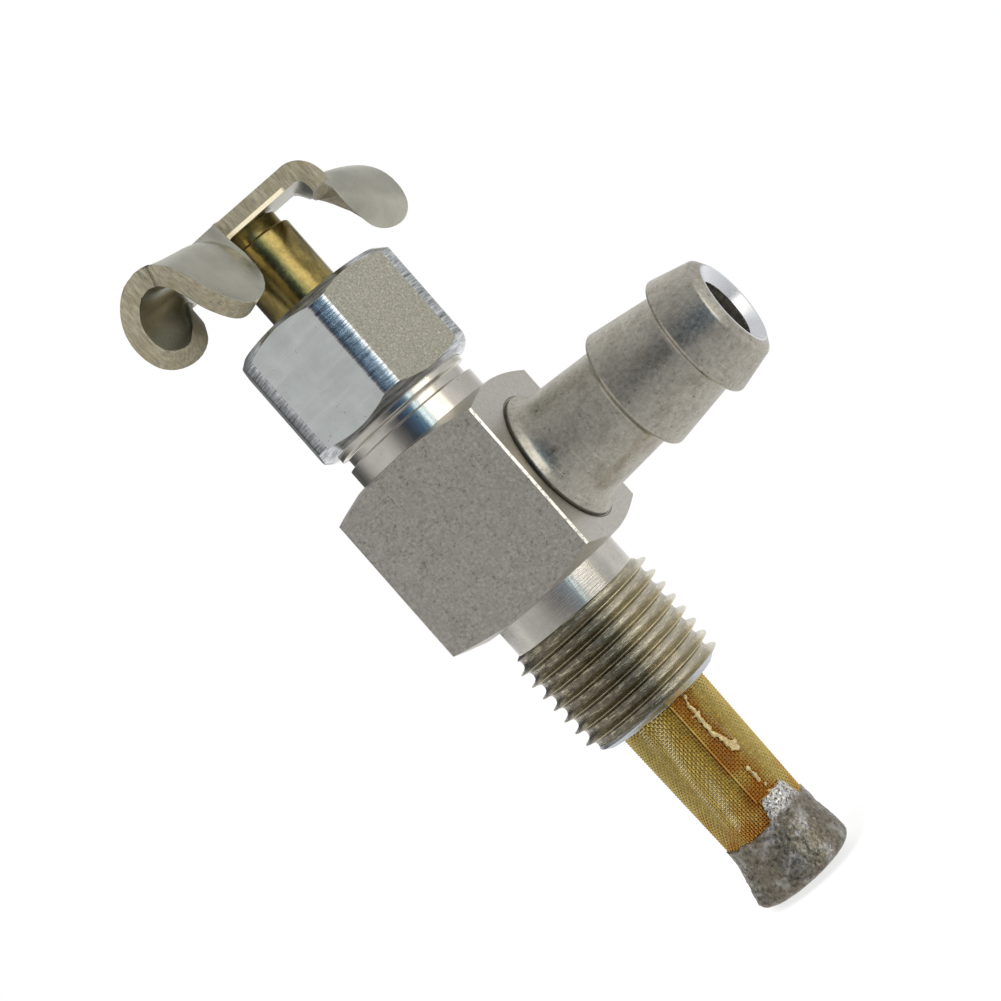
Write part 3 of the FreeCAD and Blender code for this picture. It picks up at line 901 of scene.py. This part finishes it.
# Lines of the sheet's middle across a wing: distance along the wing, where its ridge stands,
# and steps (outwards, down) from the ridge to the edge
NEAR_CURL = [
    (-8.5, -6.1, [(0, 0), (0.75, -0.17), (1.5, -0.75), (2.1, -1.75), (2.26, -2.95), (1.95, -4.1),
                  (1.35, -4.85), (0.75, -5.2), (0.22, -5.2)]),
    (-7.65, -5.8, [(0, 0), (0.72, -0.16), (1.42, -0.72), (2.0, -1.65), (2.15, -2.8),
                   (1.85, -3.85), (1.25, -4.55), (0.7, -4.85), (0.28, -4.8)]),
    (-5.95, -5.2, [(0, 0), (0.62, -0.1), (1.2, -0.5), (1.68, -1.25), (1.82, -2.2),
                   (1.6, -3.0), (1.18, -3.6), (0.75, -3.85), (0.32, -3.8)]),
    (-4.6, -4.7, [(0, 0), (0.55, -0.04), (1.02, -0.32), (1.4, -0.85), (1.55, -1.5),
                  (1.48, -2.1), (1.25, -2.5), (0.9, -2.7), (0.5, -2.7)]),
    (-3.4, -4.3, [(0, 0), (0.45, -0.01), (0.88, -0.22), (1.2, -0.6), (1.36, -1.05),
                  (1.4, -1.45), (1.38, -1.75), (1.33, -2.0), (1.25, -2.25)]),
    (3.4, -3.75, [(0, 0), (0.45, -0.01), (0.88, -0.2), (1.18, -0.55), (1.32, -0.9), (1.38, -1.2),
                 (1.4, -1.38), (1.4, -1.55), (1.4, -1.7)]),
]
FAR_CURL = [
    (-8.5, -6.1, [(0, 0), (0.8, -0.12), (1.6, -0.6), (2.3, -1.45), (2.6, -2.6), (2.45, -3.7),
                  (1.9, -4.45), (1.2, -4.75), (0.5, -4.65)]),
    (-7.65, -5.8, [(0, 0), (0.75, -0.1), (1.5, -0.5), (2.15, -1.3), (2.45, -2.35),
                   (2.35, -3.35), (1.9, -4.05), (1.3, -4.35), (0.7, -4.3)]),
    (-5.95, -5.1, [(0, 0), (0.68, -0.08), (1.3, -0.42), (1.8, -1.05), (2.07, -1.85),
                   (2.05, -2.6), (1.8, -3.1), (1.4, -3.35), (1.0, -3.35)]),
    (-4.6, -4.3, [(0, 0), (0.6, -0.06), (1.05, -0.3), (1.38, -0.7), (1.58, -1.2),
                  (1.66, -1.65), (1.64, -2.0), (1.5, -2.25), (1.3, -2.4)]),
    (-3.4, -3.7, [(0, 0), (0.5, -0.04), (0.85, -0.2), (1.12, -0.46), (1.3, -0.78),
                  (1.42, -1.1), (1.48, -1.38), (1.5, -1.6), (1.5, -1.8)]),
    (3.4, -3.75, [(0, 0), (0.45, -0.01), (0.88, -0.2), (1.18, -0.55), (1.32, -0.9), (1.38, -1.2),
                 (1.4, -1.38), (1.4, -1.55), (1.4, -1.7)]),
]
EAR = [
    (-8.5, -6.1, [(0, 0), (-0.55, -0.12), (-1.15, -0.65), (-1.65, -1.65), (-2.05, -3.05),
                  (-2.6, -4.85)]),
    (-7.73, -5.83, [(0, 0), (-0.6, -0.1), (-1.3, -0.6), (-1.85, -1.65), (-2.3, -3.2),
                    (-2.85, -5.2)]),
    (-6.8, -5.49, [(0, 0), (-0.7, -0.08), (-1.5, -0.5), (-2.15, -1.5), (-2.65, -3.05),
                   (-3.1, -5.0)]),
    (-5.0, -4.85, [(0, 0), (-0.85, -0.01), (-1.8, -0.22), (-2.65, -0.95), (-3.2, -2.2),
                   (-3.55, -3.75)]),
    (-3.4, -4.3, [(0, 0), (-0.65, 0), (-1.29, 0), (-1.94, 0), (-2.58, 0), (-3.23, 0)]),
]


def wing_line(lines, station, count, corner=0.0):
    """The sheet's middle across a wing at one station, its free corner rounded at the mouth."""
    keys = [line[0] for line in lines]
    from_mouth = max(station - keys[0], 0)
    shorter = 0
    if from_mouth < corner:
        shorter = corner - math.sqrt(corner ** 2 - (corner - from_mouth) ** 2)
    ridge = through(keys, [line[1] for line in lines], np.array([station]))[0]
    steps = through(keys, [smoothed(line[2], 40) for line in lines], np.array([station]))[0]
    return [(ridge - out, down) for out, down in smoothed(steps, count, shorter)]


class OBJECT_OT_tap_handle(TapOperator, Operator):
    """Handle of bent sheet with two curled wings"""
    bl_idname = "object.tap_handle"
    bl_label = "Handle"

    def build(self, scene):
        s = in_mm(scene.tap_handle)
        middle = s.height + s.thickness / 2
        # Points across a curl, across the ear or the bar beside it, and across the rest of the
        # bar, then rows along a wing and along the bar
        outer, inner, between, wing_rows, bar_rows = 22, 14, 16, 20, 15
        wing_stations = -s.half_width - (s.wing_end - s.half_width) * np.sin(
            np.linspace(math.pi / 2, 0, wing_rows))
        bar_stations = np.linspace(-s.half_width, s.half_width, bar_rows)
        sheet = bmesh.new()

        def level(y):
            """Height of the sheet's middle at a place across the bar."""
            return middle + np.interp(y, (-s.half_width, s.half_width, s.dip, s.wing_end),
                                      (0, s.climb, s.far_climb / 2, s.far_climb))

        def lay(rows):
            """Faces between rows of points."""
            made = [[sheet.verts.new(point) for point in row] for row in rows]
            for row, after in zip(made, made[1:]):
                for index in range(len(row) - 1):
                    sheet.faces.new((row[index], row[index + 1], after[index + 1], after[index]))

        def curl(y, side=1):
            """Points from the edge of one curl up to its ridge."""
            line = wing_line(NEAR_CURL if side > 0 else FAR_CURL, y * side, outer, s.curl_corner)
            return [(x * side, y, level(y) + z) for x, z in reversed(line)]

        def ear(y):
            """Points from the near wing's ridge down its inner leg."""
            return [(x, y, level(y) + z) for x, z in wing_line(EAR, y, inner, s.corner)]

        lay([curl(y) + ear(y)[1:] for y in wing_stations])
        rows = []
        near_left = curl(-s.half_width)[-1][0]
        near_right = curl(-s.half_width, -1)[-1][0]
        share = (s.ear_start - near_left) / (near_right - near_left)
        shares = list(np.linspace(0, share, inner)) + list(np.linspace(share, 1, between))[1:]
        for y in bar_stations:
            left = curl(y)
            right = curl(y, -1)[::-1]
            start, end = left[-1][0], right[0][0]
            flat = [(start + (end - start) * part, y, level(y)) for part in shares]
            rows.append(left + flat[1:-1] + right)
        lay(rows)
        lay([curl(-y, -1) for y in wing_stations])
        handle = from_sheet("handle_sheet", sheet)
        edit_all(handle)
        closed_up(0.05)
        c = scene.tap_colours
        for material in (self.surface(c), self.cut_edge(s, c)):
            handle.data.materials.append(material)
        shaped(handle, "SOLIDIFY", thickness=s.thickness, offset=0, use_even_offset=True,
               material_offset_rim=1)
        shaped(handle, "BEVEL", width=s.edge, segments=3, limit_method="ANGLE",
               angle_limit=math.radians(50), miter_outer="MITER_ARC")
        moved(handle, Matrix.Rotation(HANDLE_TURN, 4, "Z"))
        spindle = in_mm(scene.tap_spindle)
        head = s.height + s.thickness + s.climb / 2 + spindle.stake_height
        wide = spindle.stake + FIT_GAP
        narrow = spindle.tenon + FIT_GAP
        low = s.height - OVERLAP
        hole = turned("hole", [
            (0, low), (narrow, low), (narrow, head - spindle.stake_depth), (wide, head),
            (wide + 1, head + spindle.stake_depth), (0, head + OVERLAP)], 64)
        sloped(hole, head - spindle.stake_depth + 0.01, s.climb / (2 * s.half_width), HANDLE_TURN)
        combined(handle, hole, "DIFFERENCE")
        finished(handle, STEM, ["handle"], [], 40)

    def surface(self, c):
        """Smooth pale plating with small dark spots."""
        f = Finish("handle_plating")
        tone = f.over(c.sheet, (f.patches(0.6, 4, 0.6, 0.35, 0.7), tinted(c.sheet, 0.82)),
                      (f.patches(4.5, 5, 0.7, 0.62, 0.75, 0.35), c.plating_dark))
        fine = f.noise(7, 4, 0.6)
        normal = f.bump(f.noise(1.3, 3), 0.25, 0.05)
        return f.done(tone, f.level(fine, 0.3, 0.7, 0.26, 0.4), f.bump(fine, 0.2, 0.02, normal))

    def cut_edge(self, s, c):
        """Sheared edge, scored across the sheet by the punch, with a painted highlight band along
        its lower edge.
        """
        f = Finish("sheared_edge", metal=0.6)
        scores = f.noise(7, 4, 0.7, f.stretched(1, 1, 0.12))
        # Painted highlight: a light band along the bottom of the cut edge, over one stretch of the
        # bar
        top = s.height + s.painted_highlight_band
        low = f.level(f.split()["Z"], top, top + 0.04, 1, 0)
        middle = f.level(f.apart(f.facing(HANDLE_TURN), 0.6), 2.6, 2.8, 1, 0)
        tone = f.over(f.shades(scores, c.edge, 0.6, 1.25),
                      (f.patches(1.4, 5, 0.65, 0.45, 0.7, 0.6), c.edge_stain),
                      (f.times(low, middle), tinted(c.edge, 3)))
        return f.done(tone, f.level(scores, 0.3, 0.7, 0.42, 0.58), f.bump(scores, 0.6, 0.04))


class OBJECT_OT_tap_spigot(TapOperator, Operator):
    """Hose spigot with two barbs"""
    bl_idname = "object.tap_spigot"
    bl_label = "Outlet spigot"

    def build(self, scene):
        s = in_mm(scene.tap_spigot)
        body = in_mm(scene.tap_body)
        inside = in_mm(scene.tap_passages)
        face = body.across / 2 + FIT_GAP
        root = inside.socket_floor + FIT_GAP
        shank = inside.socket - FIT_GAP
        spigot = turned("spigot", softened([
            (s.bore, root, 0), (shank, root, 0), (shank, face, 0), (s.collar, face, 0),
            (s.collar - 0.05, face + 0.22, 0.1), (s.base + 0.25, face + 0.55, 0.3),
            (s.base, face + 1.25, 0.5), (s.waist, face + s.inner_barb - 0.35, 0.2),
            (s.barb - 0.12, face + s.inner_barb - 0.1, 0.1),
            (s.barb, face + s.inner_barb + 0.06, 0.08),
            (s.barb_end, face + s.outer_barb - 0.55, 0.15),
            (s.barb_end, face + s.outer_barb - 0.28, 0.1),
            (s.barb - 0.1, face + s.outer_barb - 0.1, 0.1),
            (s.barb, face + s.outer_barb + 0.06, 0.08),
            (s.barb_end, face + s.end - 0.4, 0.12), (s.mouth + 0.12, face + s.end, 0.1),
            (s.mouth, face + s.end, 0.08), (s.bore, face + s.end - 0.6, 0.1)], 0.05), 128)
        along_x(spigot, body.outlet)
        c = scene.tap_colours
        finished(spigot, BODY, ["outlet_spigot"],
                 [self.surface(s, face, body.outlet, c)])

    def surface(self, s, face, outlet, c):
        """Worn plating with brown stains, clean and bright round the mouth."""
        f = Finish("spigot_plating")
        x, y, z = f.split()
        rings = f.noise(9, 4, 0.7, f.stretched(1, 0.06, 0.06))
        fine = f.noise(4, 5, 0.75)
        stain = f.patches(0.8, 6, 0.7, 0.48, 0.68, 0.5, f.stretched(0.8, 1, 1))
        scores = f.patches(7, 3, 0.8, 0.6, 0.7, 0.5, f.stretched(1, 0.05, 0.05))
        joint = f.level(x, face + 0.1, face + 0.2, 1, 0)
        dirt = f.most(f.patches(2.6, 6, 0.8, 0.58, 0.66, 0.7), joint)
        ring = f.reach(y, f.minus(z, outlet))
        clean = f.times(f.level(ring, s.mouth + 0.1, s.mouth + 0.18, 1, 0),
                        f.level(x, face + s.end - 0.65, face + s.end - 0.6))
        tone = f.over(f.shades(fine, c.spigot, 0.8, 1.2), (stain, c.spigot_stain),
                      (dirt, c.plating_dark), (scores, tinted(c.spigot, 1.5)), (clean, c.mouth))
        rough = f.minus(f.level(fine, 0.3, 0.7, 0.25, 0.42), f.times(clean, 0.08))
        return f.done(tone, rough, f.bump(rings, 0.35, 0.015))


def leaned(piece, s):
    """Narrow a strainer piece towards its lower end and lean it about the lean height."""
    for vertex in piece.data.vertices:
        place = vertex.co
        share = 1 - s.narrowing * min(max((s.top - place.z) / (s.top - s.tip_top), 0), 1)
        place.x *= share
        place.y *= share
    across = Vector((-math.sin(HANDLE_TURN), math.cos(HANDLE_TURN), 0))
    pivot = Vector((0, 0, s.lean_height))
    return moved(piece, Matrix.Translation(pivot) @ Matrix.Rotation(-s.lean, 4, across)
                 @ Matrix.Translation(-pivot))


class OBJECT_OT_tap_gauze(TapOperator, Operator):
    """Tube of woven brass wire"""
    bl_idname = "object.tap_gauze"
    bl_label = "Strainer gauze"

    def build(self, scene):
        s = in_mm(scene.tap_strainer)
        middle = s.radius - s.wire
        count = 2 * round(math.pi * middle / s.pitch)
        rows = round((s.top - s.bottom) / s.pitch)
        weave = s.wire * 0.5
        wires = bpy.data.curves.new("gauze_wires", "CURVE")
        wires.dimensions = "3D"
        wires.bevel_depth = s.wire / 2
        wires.bevel_resolution = 0
        wires.use_fill_caps = True

        def wire(points, closed):
            """One wire through its points."""
            spline = wires.splines.new("POLY")
            spline.points.add(len(points) - 1)
            spline.points.foreach_set("co", [v for point in points for v in (*point, 1)])
            spline.use_cyclic_u = closed

        def crossing(column, row, sense, lift=0.0):
            """Where a wire passes over or under another one."""
            angle = 2 * math.pi * column / count
            over = weave * sense * (1 if (column + row) % 2 else -1)
            radius = middle + over + lift
            return (radius * math.cos(angle), radius * math.sin(angle), s.top - row * s.pitch)

        for column in range(count):
            wire([crossing(column, row, 1) for row in range(rows + 1)], False)
        for row in range(rows + 1):
            wire([crossing(column, row, -1) for column in range(count)], True)
        columns = range(round((s.seam - s.flap) / (2 * math.pi) * count),
                        round((s.seam + s.flap) / (2 * math.pi) * count) + 1)
        flap_rows = range(round((s.top - s.flap_top) / s.pitch),
                          round((s.top - s.flap_bottom) / s.pitch) + 1)
        lift = FLAP_LIFT * s.wire
        for column in columns:
            wire([crossing(column, row, 1, lift) for row in flap_rows], False)
        for row in flap_rows:
            wire([crossing(column, row, -1, lift) for column in columns], False)
        only(placed("gauze_weave", wires))
        bpy.ops.object.convert(target="MESH")
        gauze = bpy.context.object
        leaned(gauze, s)
        c = scene.tap_colours
        f = Finish("gauze_wire")
        x, y, z = f.split()
        along = f.level(f.apart(f.sum("ARCTAN2", y, x), s.seam - 0.08), 0.1, 0.42, 0.3, 0)
        heat = f.plus(f.level(z, -17.5, -13.5, 0.32, 0), along)
        warm = f.level(f.plus(f.noise(0.7, 4), heat), 0.58, 0.85)
        tone = f.over(f.shades(f.noise(3, 4, 0.7), c.gauze, 0.8, 1.1), (warm, c.gauze_warm))
        finished(gauze, BODY, ["strainer_gauze"], [f.done(tone, 0.28)], 60)


# Strip of the tube that the solder smears lie on, in degrees, and the smears themselves:
# direction round the tube in degrees, height and half width
SMEAR_STRIP = (-58, -28)
SMEARS = (
    ((-45, -8.1, 0.16), (-46, -9.2, 0.22), (-46.5, -10.1, 0.24), (-43.5, -11.0, 0.2),
     (-41.5, -11.6, 0.34), (-38, -12.1, 0.3), (-34.5, -12.3, 0.14)),
    ((-43.5, -13.5, 0.1), (-43, -14.1, 0.22), (-42, -14.5, 0.08)),
    ((-41.5, -15.0, 0.14), (-41, -15.5, 0.2), (-40, -15.8, 0.1)),
)


class OBJECT_OT_tap_smears(TapOperator, Operator):
    """Smears of solder along the gauze's seam"""
    bl_idname = "object.tap_smears"
    bl_label = "Seam smears"

    def build(self, scene):
        s = in_mm(scene.tap_strainer)
        radius = s.radius + FLAP_LIFT * s.wire
        step, sunk, thickness = 0.06, 0.03, 0.09
        turns = np.radians(np.arange(*SMEAR_STRIP, math.degrees(step / radius)))
        heights = np.arange(s.flap_top, s.flap_bottom, -step)
        sheet = bmesh.new()
        points = {}

        def cover(angle, height):
            """How far a place lies inside the smears, with a ragged edge."""
            most = -1
            for smear in SMEARS:
                for start, end in zip(smear, smear[1:]):
                    for share in (0, 0.25, 0.5, 0.75, 1):
                        at, z, wide = (a + (b - a) * share for a, b in zip(start, end))
                        gap = math.hypot((angle - math.radians(at)) * radius, height - z)
                        most = max(most, wide - gap)
            return most + 0.3 * noise.noise(Vector((angle * radius * 3, height * 3, 1)))

        for row, height in enumerate(heights):
            for column, angle in enumerate(turns):
                inside = cover(angle, height)
                if inside > 0:
                    lift = radius + thickness * min(inside / 0.12, 1) - sunk
                    lift += 0.04 * noise.noise(Vector((angle * radius * 7, height * 7, 4)))
                    points[row, column] = sheet.verts.new(
                        (lift * math.cos(angle), lift * math.sin(angle), height))
        for (row, column), corner in list(points.items()):
            others = [points.get(key) for key in
                      ((row + 1, column), (row + 1, column + 1), (row, column + 1))]
            if all(others):
                sheet.faces.new((corner, *others))
        bmesh.ops.delete(sheet, geom=[v for v in sheet.verts if not v.link_faces],
                         context="VERTS")
        smears = from_sheet("seam_smears", sheet)
        shaped(smears, "SOLIDIFY", thickness=0.12, offset=-1)
        leaned(smears, s)
        c = scene.tap_colours
        f = Finish("seam_solder")
        grain = f.noise(5, 5, 0.75)
        finished(smears, BODY, ["strainer_seam_solder"], [
            f.done(f.mix(f.level(grain, 0.35, 0.6), tinted(c.smear, 0.6), c.smear), 0.32,
                   f.bump(grain, 0.8, 0.05))], 60)


class OBJECT_OT_tap_tip(TapOperator, Operator):
    """Solder-dipped end of the strainer"""
    bl_idname = "object.tap_tip"
    bl_label = "Solder tip"

    def build(self, scene):
        s = in_mm(scene.tap_strainer)
        height = s.tip_top - s.tip_bottom
        wall = s.radius - s.wire * 2
        floor = s.tip_bottom + s.tip_floor
        tip = turned("solder_tip", softened([
            (0, floor), (wall, floor, 0), (wall, s.tip_top, 0),
            (s.tip_radius, s.tip_top, 0.05), (s.tip_radius + 0.08, s.tip_top - height * 0.33, 0.5),
            (s.tip_flare - 0.12, s.tip_bottom + 1.1, 0.6), (s.tip_flare, s.tip_bottom + 0.3, 0.3),
            (s.tip_flare - 0.45, s.tip_bottom, 0.25), (0, s.tip_bottom)], 0.1), 120)
        for vertex in tip.data.vertices:
            place = vertex.co
            if place.z > s.tip_top - 0.1:
                angle = math.atan2(place.y, place.x)
                off = abs(angle - s.seam - s.patch_aside)
                rise = s.patch / (1 + math.exp((off - s.patch_half) / s.patch_edge))
                jagged = noise.noise(Vector((math.cos(angle), math.sin(angle), 0)) * 5)
                place.z += rise * (1 + 0.25 * jagged) + 0.22 * jagged
        shaped(tip, "REMESH", mode="VOXEL", voxel_size=0.07)
        aside = Vector((math.cos(HANDLE_TURN), math.sin(HANDLE_TURN), 0))
        for vertex in tip.data.vertices:
            place = vertex.co.copy()
            down = min(max((s.tip_top - place.z) / height, 0), 1)
            swell = noise.fractal(place * 0.9, 0.8, 2.0, 4)
            away = Vector((place.x, place.y, 0)).normalized()
            vertex.co = (place + away * (0.06 * swell + 0.04 * noise.noise(place * 4.5))
                         - aside * s.tip_aside * down ** 2)
        leaned(tip, s)
        c = scene.tap_colours
        f = Finish("solder")
        z = f.split()["Z"]
        fine = f.noise(4, 6, 0.75)
        pits = f.patches(2.4, 6, 0.8, 0.57, 0.66)
        ragged = f.plus(z, f.level(fine, 0.3, 0.7, -0.3, 0.3))
        bright = f.level(ragged, s.tip_top + 0.15, s.tip_top + 0.35)
        crinkled = f.mix(f.patches(5.5, 3, 0.8, 0.42, 0.56), tinted(c.solder, 0.9),
                         c.solder_bright)
        tone = f.over(f.shades(fine, c.solder, 0.65, 1.7),
                      (f.patches(0.8, 5, 0.65, 0.5, 0.65, 0.6), tinted(c.solder_bright, 0.7)),
                      (f.times(pits, 0.8), tinted(c.solder, 0.2)), (bright, crinkled))
        rough = f.minus(f.level(fine, 0.3, 0.7, 0.2, 0.36), f.times(bright, 0.05))
        finished(tip, BODY, ["strainer_solder_tip"],
                 [f.done(tone, rough, f.bump(f.minus(fine, pits), 0.5, 0.05))], 60)


class OBJECT_OT_tap_inner(TapOperator, Operator):
    """Finishes of the pieces inside the tap"""
    bl_idname = "object.tap_inner"
    bl_label = "Inner pieces"

    def build(self, scene):
        c = scene.tap_colours
        brass = turned_plating("plain_brass", c.brass, 0.25, 12)
        f = Finish("packing", metal=0)
        packing = f.done(f.mix(f.noise(5), tinted(c.packing, 0.3), c.packing), 0.6,
                         f.bump(f.noise(6), 0.5, 0.03))
        f = Finish("seat_rubber", metal=0)
        rubber = f.done(f.mix(f.noise(3), tinted(c.rubber, 0.4), c.rubber), 0.7,
                        f.bump(f.noise(9), 0.3, 0.02))
        for name, material in (("gland_packing", packing), ("gland_follower", brass),
                               ("strainer_ferrule", brass), ("seat_pad", rubber)):
            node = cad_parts[name]
            node.data.materials.clear()
            node.data.materials.append(material)


# Brightness of the tent's wall by direction, in degrees round the spindle from +X
TENT_TONES = (
    (-180, 0.35), (-173, 0.45), (-157, 0.6), (-141, 0.64), (-125, 0.6), (-109, 0.48), (-96, 0.22),
    (-77, (0.05, 0.06, 0.08)), (-61, (0.07, 0.13, 0.22)), (-49, (0.2, 0.36, 0.48)),
    (-47, (1.5, 1.8, 1.9)), (-44, (1.5, 1.8, 1.9)), (-42, (0.2, 0.4, 0.55)),
    (-37, (1.75, 1.73, 1.68)), (-6, (1.75, 1.68, 1.58)), (-4, (0.85, 0.8, 0.7)), (3, 0.85),
    (18, 0.65), (50, 0.6), (66, 0.55), (82, 0.7), (98, 0.9), (115, 0.85), (122, 0.12),
    (154, 0.1), (170, 0.2), (180, 0.35),
)


class OBJECT_OT_tap_stage(TapOperator, Operator):
    """Camera, floor, light tent and lamps"""
    bl_idname = "object.tap_stage"
    bl_label = "Stage"

    def build(self, scene):
        s = in_mm(scene.tap_stage)
        aside = Vector((math.cos(s.azimuth), math.sin(s.azimuth), 0))
        back = Vector((math.sin(s.azimuth), -math.cos(s.azimuth), 0))
        up = Vector((0, 0, 1))
        right = aside * math.cos(s.roll) - up * math.sin(s.roll)
        above = aside * math.sin(s.roll) + up * math.cos(s.roll)
        place = aside * s.aside + up * s.height + back * s.distance
        camera = bpy.data.cameras.new("camera")
        camera.sensor_width = 36
        camera.lens = s.focal * camera.sensor_width
        camera.clip_start = 0.005
        camera.clip_end = 5
        view = placed("camera", camera)
        axes = Matrix((right, above, back)).transposed().to_4x4()
        view.matrix_world = Matrix.Translation(place * MM) @ axes
        scene.camera = view
        self.floor(s)
        self.tent(s)
        self.world(scene)
        self.lamps(back, aside)
        scene.view_settings.view_transform = "Standard"

    def floor(self, s):
        """White paper that keeps the tap's shadow; metals see it darker towards the camera."""
        bpy.ops.object.select_all(action="DESELECT")
        bpy.ops.mesh.primitive_circle_add(vertices=64, radius=s.floor_radius * MM,
                                          fill_type="NGON", location=(0, 0, s.floor * MM))
        floor = bpy.context.object
        floor.name = "floor"
        f = Finish("pale_floor", metal=0)
        f.done((1, 1, 1), 0.9)
        f.shader.inputs["Specular IOR Level"].default_value = 0
        path = f.node("ShaderNodeLightPath").outputs
        glossy = path["Is Glossy Ray"]
        tone = f.level(f.facing(s.azimuth + math.pi / 2), -60, 40, 0.42, 0.85)
        seen = f.most(f.times(path["Is Camera Ray"], 0.75), glossy)
        blend = f.node("ShaderNodeMixShader")
        for value, socket in zip((f.most(seen, path["Is Transmission Ray"]), f.shader.outputs[0],
                                  f.glow(f.mix(glossy, (1, 1, 1), tone))), blend.inputs):
            f.join(value, socket)
        floor.data.materials.append(f.shine(blend.outputs[0]))

    def tent(self, s):
        """Light tent that only the metals see, with a window, dark gaps and grey cloth."""
        bpy.ops.object.select_all(action="DESELECT")
        bpy.ops.mesh.primitive_uv_sphere_add(segments=64, ring_count=32, radius=s.tent * MM)
        tent = bpy.context.object
        tent.name = "light_tent"
        f = Finish("tent_cloth", metal=0)
        x, y, z = f.split()
        around = f.sum("MULTIPLY_ADD", f.sum("ARCTAN2", y, x), 0.5 / math.pi, 0.5)
        ramp = f.node("ShaderNodeValToRGB")
        f.join(around, ramp.inputs[0])
        stops = ramp.color_ramp.elements
        for index, (angle, tone) in enumerate(TENT_TONES):
            place = (angle + 180) / 360
            stop = stops[index] if index < 2 else stops.new(place)
            stop.position = place
            stop.color = (*(tone if isinstance(tone, tuple) else (tone,) * 3), 1)
        raised = f.sum("ABSOLUTE", f.sum("ARCTAN2", z, f.reach(x, y)))
        high = f.level(raised, math.radians(22), math.radians(55))
        roof = f.level(f.facing(s.azimuth + math.pi / 2), -s.tent, s.tent, 0.22, 0.85)
        cloth = f.mix(high, ramp.outputs["Color"], roof)
        tent.data.materials.append(f.shine(f.glow(cloth)))
        for kind in ("camera", "diffuse", "shadow", "transmission"):
            setattr(tent, "visible_" + kind, False)

    def world(self, scene):
        """Even white light from all round."""
        world = bpy.data.worlds.new("studio")
        scene.world = world
        world.use_nodes = True
        light = world.node_tree.nodes["Background"]
        light.inputs["Color"].default_value = (1, 1, 1, 1)
        light.inputs["Strength"].default_value = 1

    def lamps(self, back, aside):
        """Two soft lamps that the metals don't mirror."""
        up = Vector((0, 0, 1))
        for name, spot, size, power in (
                ("key", back * 160 - aside * 120 + up * 160, 140, 0.6),
                ("fill", back * 120 + aside * 200 + up * 40, 160, 0.3)):
            lamp = bpy.data.lights.new(name, "AREA")
            lamp.size = size * MM
            lamp.energy = power
            item = placed(name, lamp)
            item.visible_glossy = False
            aim = (Vector((0, 0, 5)) - spot).to_track_quat("-Z", "Y").to_matrix().to_4x4()
            item.matrix_world = Matrix.Translation(spot * MM) @ aim


GROUPS = {
    "tap_body": TapBodySizes,
    "tap_passages": TapPassageSizes,
    "tap_thread": TapThreadSizes,
    "tap_nut": TapNutSizes,
    "tap_spindle": TapSpindleSizes,
    "tap_spigot": TapSpigotSizes,
    "tap_handle": TapHandleSizes,
    "tap_strainer": TapStrainerSizes,
    "tap_stage": TapStageSizes,
    "tap_colours": TapColours,
}
OPERATORS = TapOperator.__subclasses__()


class VIEW3D_PT_fuel_tap(Panel):
    """Buttons and sizes of the fuel tap"""
    bl_label = "Fuel tap"
    bl_space_type = "VIEW_3D"
    bl_region_type = "UI"
    bl_category = "Fuel tap"

    def draw(self, context):
        for operator in OPERATORS:
            self.layout.operator(operator.bl_idname)
        for key, group in GROUPS.items():
            box = self.layout.box()
            box.label(text=group.__doc__)
            for name in group.__annotations__:
                box.prop(getattr(context.scene, key), name)


def register():
    """Make the sizes, operators and panel known to Blender."""
    for group in GROUPS.values():
        bpy.utils.register_class(group)
    for key, group in GROUPS.items():
        setattr(bpy.types.Scene, key, PointerProperty(type=group))
    for operator in OPERATORS:
        bpy.utils.register_class(operator)
    bpy.utils.register_class(VIEW3D_PT_fuel_tap)


def unregister():
    """Take the add-on out of Blender again."""
    bpy.utils.unregister_class(VIEW3D_PT_fuel_tap)
    for operator in reversed(OPERATORS):
        bpy.utils.unregister_class(operator)
    for key in GROUPS:
        delattr(bpy.types.Scene, key)
    for group in reversed(GROUPS.values()):
        bpy.utils.unregister_class(group)


def main():
    """Register the add-on and build every piece."""
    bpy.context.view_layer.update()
    register()
    for operator in OPERATORS:
        family, name = operator.bl_idname.split(".")
        getattr(getattr(bpy.ops, family), name)()


if __name__ == "__main__":
    main()
